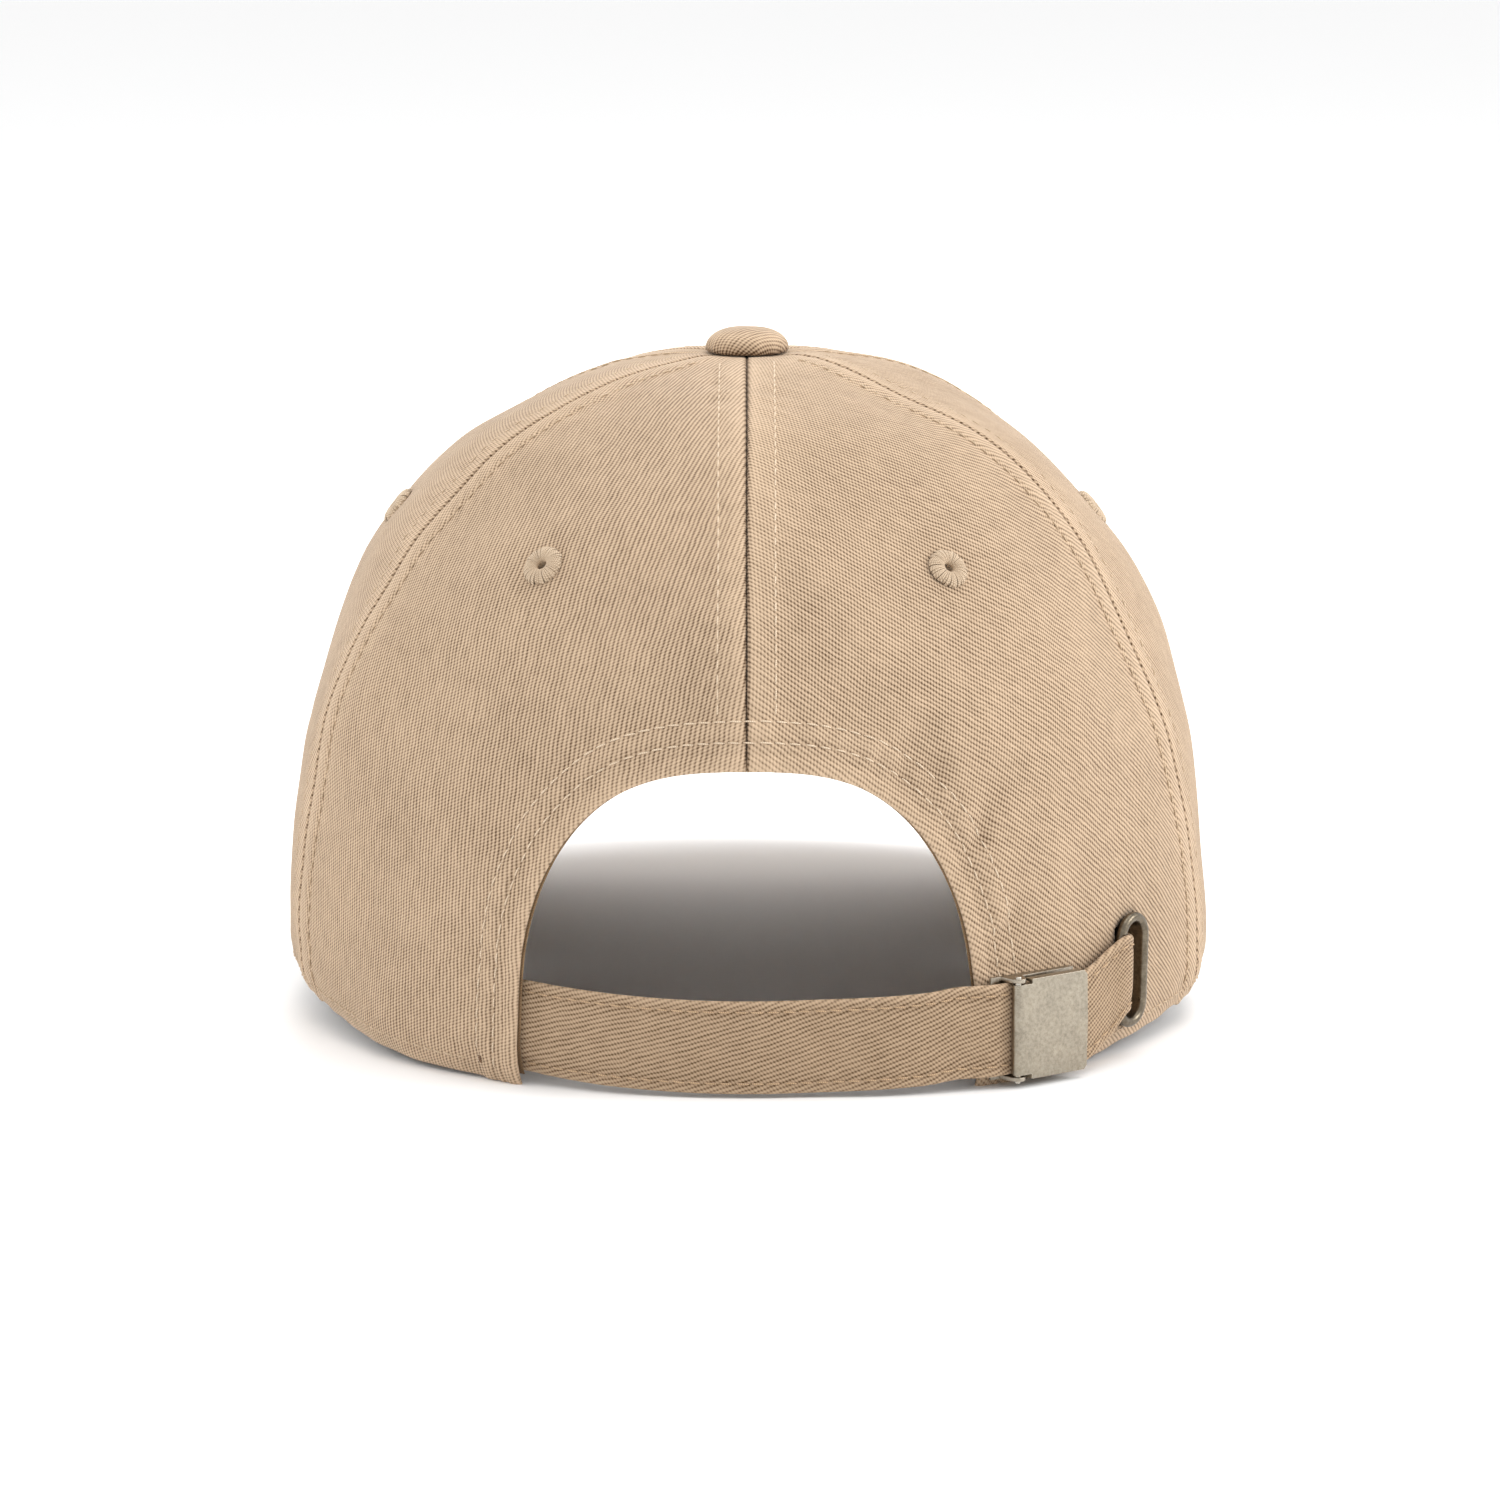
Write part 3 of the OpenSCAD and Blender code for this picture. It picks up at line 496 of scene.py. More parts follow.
def twill(name, angle, light, dark, pitch=0.86, fade=1.0, depth=0.16):
    """Cotton twill. The weave attribute holds the place on the flat cloth in mm; angle is the wale's."""
    m, nt, bsdf = new_material(name)
    n = Nodes(nt)
    attr = n.add("ShaderNodeAttribute", attribute_name="weave")
    wear_and_shade = n.add("ShaderNodeAttribute", attribute_name="wear_and_shade")
    vec = attr.outputs["Vector"]
    # yarns are never quite straight
    warp = n.noise(vec, 0.16, 2.0)
    warp2 = n.noise(vec, 0.9, 1.0)
    u, v, _ = n.split(vec)
    ca, sa = math.cos(angle * DEG), math.sin(angle * DEG)
    along = n.math("ADD", n.math("MULTIPLY", u, ca), n.math("MULTIPLY", v, sa))
    across = n.math("ADD", n.math("MULTIPLY", u, -sa), n.math("MULTIPLY", v, ca))
    across = n.math("ADD", across, n.math("MULTIPLY", n.math("SUBTRACT", warp, 0.5), 0.8))
    across = n.math("ADD", across, n.math("MULTIPLY", n.math("SUBTRACT", warp2, 0.5), 0.16))
    ph = n.math("MULTIPLY", across, 2 * math.pi / pitch)
    wale = n.math("MULTIPLY_ADD", n.math("COSINE", ph), 0.5, 0.5)
    # each wale is a rope of short slanting floats
    seg = n.math("ADD", n.math("MULTIPLY", along, 2 * math.pi / (pitch * 0.72)),
            n.math("MULTIPLY", ph, 0.5))
    rope = n.math("MULTIPLY_ADD", n.math("COSINE", seg), 0.5, 0.5)
    fine = n.noise(vec, 3.2, 2.0, 0.6)
    height = n.math("ADD", n.math("MULTIPLY", n.math("POWER", wale, 0.8), 0.52),
                    n.math("MULTIPLY", rope, 0.34))
    height = n.math("ADD", height, n.math("MULTIPLY", fine, 0.34))
    # worn, pale yarns and painted shade in the grooves and dips; slubs along the weave; slow fading
    slub_vec = n.join(n.math("MULTIPLY", along, 0.22), n.math("MULTIPLY", across, 1.25), 0.0)
    slub = n.noise(slub_vec, 1.0, 3.0, 0.6)
    cloud = n.noise(vec, 0.045, 3.0, 0.55)
    blotch = n.noise(vec, 0.22, 3.0, 0.6)
    # colour follows the weave's height: painted shade, darker in the grooves between wales and floats,
    # lighter on the raised floats
    tone = n.range(height, 0.16, 0.98, 0.0, 1.10)
    tone = n.math("ADD", tone, n.math("MULTIPLY", n.math("SUBTRACT", slub, 0.5), 0.62))
    tone = n.math("ADD", tone, n.math("MULTIPLY", n.math("SUBTRACT", cloud, 0.5), 0.24 * fade))
    tone = n.math("ADD", tone, n.math("MULTIPLY", n.math("SUBTRACT", blotch, 0.5), 0.15 * fade))
    # paler where the cloth is rubbed, darker where painted shade lies in its grooves, stitch furrows and
    # dips
    tone = n.math("ADD", tone, n.math("MULTIPLY", wear_and_shade.outputs["Fac"], 0.55))
    tone = n.math("MINIMUM", n.math("MAXIMUM", tone, 0.0), 1.35)
    ramp = n.add("ShaderNodeValToRGB")
    ramp.color_ramp.elements[0].position = 0.0
    ramp.color_ramp.elements[0].color = dark
    ramp.color_ramp.elements[1].position = 1.0
    pale = tuple(min(1.0, c * 1.22 + 0.02) for c in light[:3]) + (1.0,)
    ramp.color_ramp.elements[1].color = pale
    mid = ramp.color_ramp.elements.new(0.62)
    mid.color = light
    n.link(n.math("MULTIPLY", tone, 0.78), ramp.inputs["Fac"])
    n.link(ramp.outputs[0], bsdf.inputs["Base Color"])
    rough = n.range(height, 0.2, 1.0, 0.96, 0.82)
    n.link(rough, bsdf.inputs["Roughness"])
    bsdf.inputs["Specular IOR Level"].default_value = 0.18
    bsdf.inputs["Sheen Weight"].default_value = 0.16
    bsdf.inputs["Sheen Roughness"].default_value = 0.45
    bsdf.inputs["Sheen Tint"].default_value = (1.0, 0.93, 0.84, 1.0)
    fuzz = n.bump(blotch, 0.25, 0.0006)
    n.link(n.bump(height, 0.85, depth * MM, fuzz), bsdf.inputs["Normal"])
    return m


CLOTH = srgb(188, 163, 136)
CLOTH_DARK = srgb(84, 62, 42)
PITCH = 0.86


def thread_material(name, colour, shade):
    m, nt, bsdf = new_material(name)
    n = Nodes(nt)
    attr = n.add("ShaderNodeAttribute", attribute_name="weave")
    u, v, _ = n.split(attr.outputs["Vector"])
    twist = n.math("MULTIPLY_ADD",
            n.math("SINE", n.math("ADD", n.math("MULTIPLY", u, 16.0),
            n.math("MULTIPLY", v, 6.28))), 0.5, 0.5)
    hue = n.noise(attr.outputs["Vector"], 0.13, 2.0)
    n.link(n.mix(n.math("MULTIPLY_ADD", twist, 0.6, n.math("MULTIPLY", hue, 0.5)), shade, colour),
            bsdf.inputs["Base Color"])
    n.link(n.range(twist, 0, 1, 0.7, 0.5), bsdf.inputs["Roughness"])
    bsdf.inputs["Sheen Weight"].default_value = 0.1
    n.link(n.bump(twist, 0.6, 0.00006), bsdf.inputs["Normal"])
    return m


def tape_material(name, colour, dark, pitch=0.55):
    m, nt, bsdf = new_material(name)
    n = Nodes(nt)
    attr = n.add("ShaderNodeAttribute", attribute_name="weave")
    vec = attr.outputs["Vector"]
    u, v, _ = n.split(vec)
    a = n.math("SINE", n.math("MULTIPLY", u, 2 * math.pi / pitch))
    b = n.math("SINE", n.math("MULTIPLY", v, 2 * math.pi / pitch))
    cell = n.math("MULTIPLY_ADD", n.math("MULTIPLY", a, b), 0.5, 0.5)
    spot = n.noise(vec, 0.3, 3.0)
    tone = n.math("ADD", n.math("MULTIPLY", cell, 0.6), n.math("MULTIPLY", spot, 0.6))
    n.link(n.mix(tone, dark, colour), bsdf.inputs["Base Color"])
    n.link(n.range(cell, 0, 1, 0.95, 0.8), bsdf.inputs["Roughness"])
    bsdf.inputs["Specular IOR Level"].default_value = 0.2
    bsdf.inputs["Sheen Weight"].default_value = 0.1
    n.link(n.bump(cell, 0.6, 0.00010), bsdf.inputs["Normal"])
    return m


def metal_material(name, base, dark, bright, rough=0.36, scratch=1.0):
    """Antique plating: brushed, clouded, darker in patches, worn bright on edges."""
    m, nt, bsdf = new_material(name)
    n = Nodes(nt)
    co = n.add("ShaderNodeTexCoord").outputs["Object"]
    x, y, z = n.split(co)
    grain = n.noise(n.join(n.math("MULTIPLY", x, 260.0), n.math("MULTIPLY", y, 260.0),
            n.math("MULTIPLY", z, 5200.0)), 1.0, 3.0, 0.65)
    cloud = n.noise(co, 260.0, 4.0, 0.62)
    spots = n.noise(co, 1500.0, 3.0, 0.7)
    wear_and_shade = n.add("ShaderNodeAttribute", attribute_name="wear_and_shade")
    tone = n.math("ADD", n.math("MULTIPLY", n.math("SUBTRACT", cloud, 0.5), 1.1),
            n.math("MULTIPLY", n.math("SUBTRACT", spots, 0.5), 1.2))
    tone = n.math("ADD", n.math("ADD", tone, 0.5),
            n.math("MULTIPLY", n.math("SUBTRACT", grain, 0.5), 0.35))
    tone = n.math("MINIMUM", n.math("MAXIMUM", tone, 0.0), 1.0)
    colour = n.mix(tone, dark, base)
    edge = n.math("MULTIPLY", wear_and_shade.outputs["Fac"], n.range(spots, 0.25, 0.6, 0.55, 1.0))
    colour = n.mix(edge, colour, bright)
    n.link(colour, bsdf.inputs["Base Color"])
    bsdf.inputs["Metallic"].default_value = 1.0
    r = n.math("ADD", n.range(cloud, 0.3, 0.7, rough + 0.10, rough - 0.04),
            n.math("MULTIPLY", n.math("SUBTRACT", grain, 0.5), 0.25 * scratch))
    n.link(r, bsdf.inputs["Roughness"])
    b = n.bump(grain, 0.10 * scratch, 0.00004)
    n.link(n.bump(spots, 0.10, 0.00005, b), bsdf.inputs["Normal"])
    return m


def plain_material(name, colour, dark, rough, scale, bump_mm):
    m, nt, bsdf = new_material(name)
    n = Nodes(nt)
    co = n.add("ShaderNodeTexCoord").outputs["Object"]
    a = n.noise(co, scale, 4.0, 0.6)
    n.link(n.mix(a, dark, colour), bsdf.inputs["Base Color"])
    n.link(n.range(a, 0.3, 0.7, rough + 0.06, rough - 0.06), bsdf.inputs["Roughness"])
    n.link(n.bump(a, 0.3, bump_mm * MM), bsdf.inputs["Normal"])
    return m


mat_thread_pale = thread_material("thread_pale", srgb(228, 208, 182), srgb(188, 163, 134))
mat_thread = thread_material("thread_tan", srgb(208, 184, 154), srgb(158, 132, 103))
mat_tape = tape_material("tape_weave", srgb(120, 95, 70), srgb(78, 60, 43))
mat_facing = tape_material("facing_weave", srgb(168, 138, 104), srgb(104, 80, 56), 0.5)
mat_sweat = twill("sweatband_twill", 28, srgb(166, 141, 114), srgb(110, 88, 66), 0.62, 0.6, 0.10)
mat_buckram = tape_material("buckram_weave", srgb(232, 228, 216), srgb(190, 184, 168), 0.9)
mat_board = plain_material("visor_board_sheet", srgb(226, 226, 220), srgb(208, 208, 202), 0.55,
        900, 0.02)
mat_brass = metal_material("brass_antique", srgb(136, 124, 104), srgb(94, 83, 66),
        srgb(238, 231, 216), 0.32)
mat_dark_brass = metal_material("brass_dark", srgb(128, 117, 100), srgb(66, 59, 49),
        srgb(214, 204, 188), 0.30, 0.5)
mat_steel = metal_material("pin_steel", srgb(190, 182, 168), srgb(120, 112, 100),
        srgb(240, 235, 225), 0.25, 0.4)
mat_button_metal = metal_material("button_metal", srgb(176, 174, 168), srgb(120, 118, 112),
        srgb(220, 218, 212), 0.4, 0.6)


# ------------------------------------------------------------------ crown panels
PANELS = {
    # name: (kind, side, wale angle in degrees on the flat panel)
    "back_panel_left": ("back", -1, 94),
    "back_panel_right": ("back", 1, -38),
    "side_panel_left": ("side", -1, 60),
    "side_panel_right": ("side", 1, -60),
    "front_panel_left": ("front", -1, 58),
    "front_panel_right": ("front", 1, -58),
}


def panel_bounds(kind, e):
    if kind == "back":
        return 0 * e, rear_seam(e)
    if kind == "side":
        return rear_seam(e), front_seam(e)
    return front_seam(e), 180 + 0 * e


E_TOP = float(level(0.982))
ARC_E = np.linspace(0, 1, 400)


def height_along(th_mid):
    """Arc length up the crown at one angle, as a table over the height share."""
    p = crown_point(np.full(400, th_mid), ARC_E * 0.9999)
    return np.concatenate([[0], np.cumsum(np.linalg.norm(np.diff(p, axis=0), axis=1))])


def flat_place(kind, side, a, e, seed):
    """Place on the flat cut panel in mm: sideways from its middle line, and up along it."""
    lo, hi = panel_bounds(kind, e)
    mid = (lo + hi) / 2
    u = (a - mid) * mm_per_degree(a, e) * side
    arc = height_along(float(np.mean(mid)))
    v = np.interp(e, ARC_E, arc)
    v = v + (u / 60.0) ** 2 * 6.0 * np.cos(np.clip(e, 0, 1) * math.pi)
    return np.stack([u + 300 * seed, v, np.full_like(u, 17.0 * seed)], -1)


def wear_and_groove_shade(th, e):
    """Where the cloth has rubbed pale: seams, hems and the crests of the puckers. Painted shade too:
    darker in the seam grooves, along the hem rows and in the dips of the relief.
    """
    a = np.abs(wrapped(th))
    k = mm_per_degree(th, e)
    w = np.zeros_like(a)
    for seam in (0 * e, rear_seam(e), front_seam(e), 180 + 0 * e):
        d = np.abs(a - seam) * k
        w += 0.28 * np.exp(-((d - 1.4) / 1.2) ** 2) + 0.10 * np.exp(-((d - SEAM_ROW) / 3.2) ** 2)
        # painted shade: darker in the seam's groove
        w -= 0.75 * np.exp(-(d / 0.45) ** 2)
    d, _ = arch_measure(th, e)
    near = (a < 60) & (e < 0.75)
    # pale on the opening's rubbed edge; painted shade, darker along the two hem rows
    w += np.where(near, 0.42 * np.exp(-(d / 0.9) ** 2)
            - 0.12 * np.exp(-((d - HEM_ROWS[0]) / 0.8) ** 2)
                  - 0.12 * np.exp(-((d - HEM_ROWS[1]) / 0.8) ** 2), 0)
    up = e * (TOP_Z - rim_z(th))
    w += 0.35 * np.exp(-(up / 1.2) ** 2)
    # lighter on the relief's crests where rubbed, darker in its dips as painted shade
    w += 0.9 * (relief(th, e) - 0.75 * waves(crown_point(th, e), 62, 11, 2)) * 0.25
    return w


def cut_mask(kind, side, th, e):
    """Mesh places that fall in an eyelet's hole or the strap's slot."""
    lo, hi = panel_bounds(kind, np.array(EYELET_L))
    mid = float((lo + hi) / 2)
    c = crown_point(mid * side, EYELET_L)
    p = crown_point(th, e)
    inside = np.linalg.norm(p - c, axis=-1) < 1.15
    if kind == "back" and side > 0:
        d = (th - SLOT_A) * mm_per_degree(th, e)
        z = p[..., 2] - SLOT_H
        zz = np.maximum(np.abs(z) - 6.1, 0)
        inside |= (np.sqrt(d * d + zz * zz) < 3.45) & (np.abs(z) < 10.2) & (p[..., 1] < 0)
    return inside


def panel(name, kind, side, angle):
    seed = sorted(PANELS).index(name) + 1
    fine = 1.0
    if kind == "back":
        na = int(88 / fine)
        # from the rear opening's edge (share 0) out to the side seam and the top (share 1)
        fine_ang = np.concatenate([[0], np.geomspace(0.0005, 90, 3000)])
        ft, fe = arch_place(fine_ang, 0.0)
        arc = np.concatenate([[0],
                np.cumsum(np.linalg.norm(np.diff(crown_point(ft, fe), axis=0), axis=1))])
        near = np.array([0, 0.12, 0.28, 0.5, 0.8, 1.2, 1.7, 2.3, 3.0, 3.7, 4.3, 4.75, 5.2, 5.65,
                6.2, 7.0])
        far = np.linspace(7.0, arc[-1] - 0.8, na)[1:]
        pos = np.concatenate([near, far, arc[-1] - np.array([0.4, 0.15, 0.05, 0.0])])[::-1]
        ang = np.interp(pos, arc, fine_ang)
        t0, e0 = arch_place(ang, 0.0)
        s = 1 - pos / arc[-1]
        split = 0.80
        e_out = np.where(s < split, level_path(s / split), E_TOP)
        t_out = np.where(s < split, rear_seam(e_out),
                rear_seam(E_TOP) * (1 - (s - split) / (1 - split)))
        gap = 0.05 / np.maximum(mm_per_degree(t_out, e_out), 1e-3)
        t_out = np.where(s < split, t_out - gap, t_out)
        w = dense_steps(80.0, 11.5, 0.5 * fine, 1.0 * fine)[None, :]
        th = t0[:, None] + (t_out - t0)[:, None] * w
        # the height shares go evenly along each ray from the opening's edge outwards
        e = e0[:, None] + (e_out - e0)[:, None] * (w + 0.0)
        th = np.maximum(th, 0.05 / np.maximum(mm_per_degree(th, e), 1e-3))
        d_arch, _ = arch_measure(th, e)
        lo, hi = panel_bounds(kind, e)
        k = mm_per_degree(th, e)
        dist = np.minimum(np.maximum(d_arch, 0), (hi - th) * k)
        dist = np.minimum(dist, e * 123 + 0.0)
        dist = np.minimum(dist, th * k)
        th, e, dist = th.T, e.T, dist.T
        th, e, dist = (x[:, ::-1] for x in (th, e, dist)) if side > 0 else (th, e, dist)
    else:
        nr = int(120 / fine)
        lows = np.array([0.0, 0.05, 0.16, 0.36, 0.65, 1.1, 1.8]) / 110.0
        es = np.concatenate([lows, np.linspace(lows[-1], FULL, int(14 / fine))[1:],
                level(np.linspace(0, 0.982, nr))[1:]])
        lo, hi = panel_bounds(kind, es)
        klo = np.maximum(mm_per_degree((lo + hi) / 2, es), 1e-3)
        g = 0.05 / klo
        lo, hi = lo + g, hi - g
        w = dense_steps(66.0, 7.5, 0.5 * fine, 1.1 * fine)[None, :]
        th = lo[:, None] + (hi - lo)[:, None] * w
        e = np.repeat(es[:, None], w.shape[1], 1)
        k = mm_per_degree(th, e)
        dist = np.minimum((th - lo[:, None]) * k, (hi[:, None] - th) * k)
        dist = np.minimum(dist, e * 100)
        if side < 0:
            th, e, dist = th[:, ::-1], e[:, ::-1], dist[:, ::-1]
    a = th
    th = th * side
    weave = flat_place(kind, side, a, e, seed)
    # rubbed pale places, and painted shade in the grooves and dips
    wear_and_shade = wear_and_groove_shade(th, e)
    m = twill("twill_" + name, angle, CLOTH, CLOTH_DARK, PITCH)
    nr, nc = th.shape
    roll = roll_depth(dist, 0.8)
    outer = skin(th, e, roll)
    inner = skin(th, e, 0.8 - roll)
    drop = cut_mask(kind, side, th, e)
    faces = grid_faces(nr, nc)
    flat_drop = np.concatenate([drop.ravel(), drop.ravel()])
    faces = faces[~flat_drop[faces].any(1)]
    ob = as_object("skin_" + name, np.concatenate([outer.reshape(-1, 3), inner.reshape(-1, 3)]),
            faces, m,
                   np.concatenate([weave.reshape(-1, 3)] * 2), np.concatenate([wear_and_shade.ravel()] * 2))
    close_holes(ob, nr * nc)
    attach(ob, "cap")
    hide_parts(name)
    return ob


def level_path(s):
    """Height share along the side seam, with even steps in mm."""
    e = np.linspace(0, E_TOP, 300)
    p = crown_point(rear_seam(e), e)
    arc = np.concatenate([[0], np.cumsum(np.linalg.norm(np.diff(p, axis=0), axis=1))])
    return np.interp(np.clip(s, 0, 1) * arc[-1], arc, e)


def close_holes(ob, half):
    """Joins the outer and inner cloth round a cut hole, so that the skin stays closed."""
    me = ob.data
    count = {}
    for poly in me.polygons:
        v = list(poly.vertices)
        for i in range(len(v)):
            count[(v[i], v[(i + 1) % len(v)])] = count.get((v[i], v[(i + 1) % len(v)]), 0) + 1
    loose = [k for k in count if (k[1], k[0]) not in count and k[0] < half and k[1] < half]
    if not loose:
        return
    add = [(b, a, a + half, b + half) for a, b in loose]
    verts = [tuple(v.co) for v in me.vertices]
    faces = [tuple(p.vertices) for p in me.polygons] + add
    weave = np.zeros(len(verts) * 3)
    me.attributes["weave"].data.foreach_get("vector", weave)
    wear_and_shade = np.zeros(len(verts))
    me.attributes["wear_and_shade"].data.foreach_get("value", wear_and_shade)
    mats = list(me.materials)
    new = bpy.data.meshes.new(me.name + "_c")
    new.from_pydata(verts, [], faces)
    new.update()
    new.attributes.new("weave", "FLOAT_VECTOR", "POINT").data.foreach_set("vector", weave)
    new.attributes.new("wear_and_shade", "FLOAT", "POINT").data.foreach_set("value", wear_and_shade)
    new.polygons.foreach_set("use_smooth", [True] * len(new.polygons))
    for m in mats:
        new.materials.append(m)
    ob.data = new


# ------------------------------------------------------------------ frames on the crown
def rim_local(th, z0, x, out):
    p = crown_point(th, share_at(th, z0))
    n = crown_normal(np.array([th], float), np.array([share_at(th, z0)]))[0]
    t = math.atan2(n[0], -n[1])
    return np.array([p[0] + x * math.cos(t) + out * math.sin(t),
            p[1] + x * math.sin(t) - out * math.cos(t)])


# depths below the crown's outer face and thicknesses, mm
LINING_D, LINING_T = 1.0, 0.5
INSIDE = LINING_D + LINING_T + 0.75 + STRAP_T / 2
TAB_W, TAB_T, TAPE_W, TAPE_D = 14.5, 0.4, 12.0, 1.75
BINDING_D, BINDING_T, BAND_D, BAND_T = 1.3, 0.36, 3.8, 1.2
STRAP_OUT, SLOT_LEAN = 2.35, 1.5


def crown_plan(th, z, zc, d):
    p = crown_at(th, share_at(th, zc), d)
    return np.array([float(p[0]), float(p[1]), z])


def in_buckle(x, out, z):
    q = rim_local(BUCKLE_A, BUCKLE_H, x, out)
    return np.array([q[0], q[1], z])


def in_slot(x, out, z):
    q = rim_local(SLOT_A, SLOT_H, x, out + (z - SLOT_H) * math.tan(SLOT_LEAN * DEG))
    return np.array([q[0], q[1], z])


def opening_spot(a, k):
    c = mixed(STRAP_H, BUCKLE_H, (abs(a) / 28) ** 2)
    z = c + k * STRAP_W
    return crown_plan(a, z, mixed(z, c, smooth((a + 28) / 14)),
            mixed(INSIDE, -1.1, smooth((a - 6) / 17)))


def strap_path(k):
    u = k * STRAP_W
    zb, zs = BUCKLE_H + u, SLOT_H + u
    out = [crown_plan(a, zb, zb, INSIDE) for a in np.arange(-ARCH_A - 9, -ARCH_A + 0.01, 2)]
    out += [opening_spot(mixed(-27.5, 22, i / 18), k) for i in range(19)]
    out += [in_buckle(x, o, zb) for x,
            o in ((-19.5, -0.35), (-17, 0.6), (-15, 1.45), (-13.3, 2.15),
            (-12, STRAP_OUT), (-4, STRAP_OUT), (4, STRAP_OUT), (9.5, STRAP_OUT))]
    out += [in_slot(-9, 2.1, mixed(zb, zs, 0.5)),
            in_slot(-6.2, 2.75, mixed(zb, zs, 0.85) - 0.07 * u)]
    out += [in_slot(x, o, zs - w * u + up) for x, o, w,
            up in ((-4.6, 3.0, 0.13, 0), (-3.3, 2.8, 0.17, 0),
            (-2.15, 1.85, 0.17, 0), (-1.1, 0.1, 0.17, 0), (0.1, -1.6, 0.17, 0),
                    (1.6, -2.7, 0.17, 0),
            (4, -3.05, 0.15, 0), (6, -3.1, 0.10, 0.3))]
    out += [crown_plan(a, zs - 0.05 * u + 1.0, zs + 1.0, INSIDE + 0.05)
            for a in np.arange(58.5, 66.6, 2)]
    return np.array(out)


def tab_path(k):
    z = BUCKLE_H + k * TAB_W
    hem = ARCH_A * (1 - (z / (ARCH_L * TOP_Z)) ** ARCH_P) ** (1 / ARCH_P)
    d = LINING_D + LINING_T + 0.5 + 0.2
    out = [crown_plan(a, z, z, d) for a in np.arange(38, 29.9, -2)]
    out += [crown_plan(hem + x, z, z, o) for x,
            o in ((0.3, d), (-0.55, 1.6), (-0.8, 0.8), (-0.55, 0.0), (0.3, -0.42))]
    out += [in_buckle(x, o, z) for x, o in ((-12.6, -0.15), (-11.5, 0.08), (-10.4, 0.12),
            (-10.0, 0.35), (-9.85, 0.75), (-10.0, 1.15), (-10.4, 1.34), (-11.5, 1.36),
                    (-12.7, 1.2), (-13.2, 0.95))]
    return np.array(out)


def refined(path, step):
    """Catmull-Rom through the path's points, with even steps in mm."""
    p = np.concatenate([[2 * path[0] - path[1]], path, [2 * path[-1] - path[-2]]])
    fine = []
    for i in range(1, len(p) - 2):
        for t in np.linspace(0, 1, 12, endpoint=False):
            a, b, c, d = p[i - 1], p[i], p[i + 1], p[i + 2]
            fine.append(0.5 * (2 * b + (c - a) * t + (2 * a - 5 * b + 4 * c - d) * t * t
                    + (3 * b - a - 3 * c + d) * t ** 3))
    fine.append(path[-1])
    fine = np.array(fine)
    arc = np.concatenate([[0], np.cumsum(np.linalg.norm(np.diff(fine, axis=0), axis=1))])
    n = max(2, int(arc[-1] / step))
    s = np.linspace(0, arc[-1], n + 1)
    return np.stack([np.interp(s, arc, fine[:, i]) for i in range(3)], -1), s


def webbing(name, make_path, width, t, mats, body, node, step=0.8, rows=(2.0,), wavy=0.0):
    """A flat woven band with rounded edges that follows make_path(share across the width)."""
    ks = np.array([0, 0.012, 0.035, 0.07, 0.12, 0.2, 0.3, 0.4, 0.5, 0.6, 0.7, 0.8, 0.88, 0.93,
            0.965, 0.988, 1.0]) - 0.5
    base = [make_path(k) for k in (-0.5, -0.25, 0.0, 0.25, 0.5)]
    mid, s = refined(base[2], step)
    src = np.array([-0.5, -0.25, 0, 0.25, 0.5])
    fine = []
    for b in base:
        f, _ = refined(b, step)
        q = np.linspace(0, 1, len(mid))
        r = np.linspace(0, 1, len(f))
        fine.append(np.stack([np.interp(q, r, f[:, i]) for i in range(3)], -1))
    fine = np.array(fine)
    grid = np.array([[[np.interp(k, src, fine[:, j, i]) for i in range(3)]
            for j in range(len(mid))] for k in ks])
    du = np.gradient(grid, axis=1)
    dv = np.gradient(grid, axis=0)
    n = np.cross(du, dv)
    n /= np.linalg.norm(n, axis=-1, keepdims=True)
    if n[len(ks) // 2, len(mid) // 2] @ (grid[len(ks) // 2, len(mid) // 2]
            - np.array([0, 20.0, 0])) < 0:
        n = -n
    edge = (0.5 - np.abs(ks)) * width
    r = t / 2
    half = np.where(edge < r, np.sqrt(np.maximum(r * r - (r - edge) ** 2, 1e-6)), r)[:,
            None] * np.ones(len(mid))
    sag = np.zeros_like(half)
    for d in rows:
        sag -= 0.13 * np.exp(-((edge[:, None] - d) / 0.45) ** 2)
    lift = 0.10 * waves(grid, 9, 51, 2) + 0.05 * np.cos(ks * math.pi)[:, None]
    outer = grid + n * (half + (sag + lift * wavy))[..., None]
    inner = grid - n * (half + sag * 0.5)[..., None]
    nr, nc = len(ks), len(mid)
    weave = np.stack([np.broadcast_to(s, (nr, nc)),
            np.broadcast_to((ks * width)[:, None], (nr, nc)), np.full((nr, nc), 9.0)], -1)
    # pale along the rubbed edges; painted shade, darker along the stitch row's furrow
    wear_and_shade = np.broadcast_to((0.5 * np.exp(-(edge / 0.7) ** 2)
            - 0.25 * np.exp(-((edge - rows[0]) / 0.4) ** 2))[:, None], (nr, nc))
    faces = grid_faces(nr, nc)
    verts = np.concatenate([outer.reshape(-1, 3), inner.reshape(-1, 3)])
    test = np.cross(verts[faces[0][1]] - verts[faces[0][0]],
            verts[faces[0][2]] - verts[faces[0][0]])
    if test @ n[0, 0] < 0:
        faces = faces[:, ::-1]
    ob = as_object(name, verts, faces, mats, np.concatenate([weave.reshape(-1, 3)] * 2),
            np.concatenate([wear_and_shade.ravel()] * 2))
    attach(ob, body)
    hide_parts(node)
    return ob, outer, inner, n, s, ks


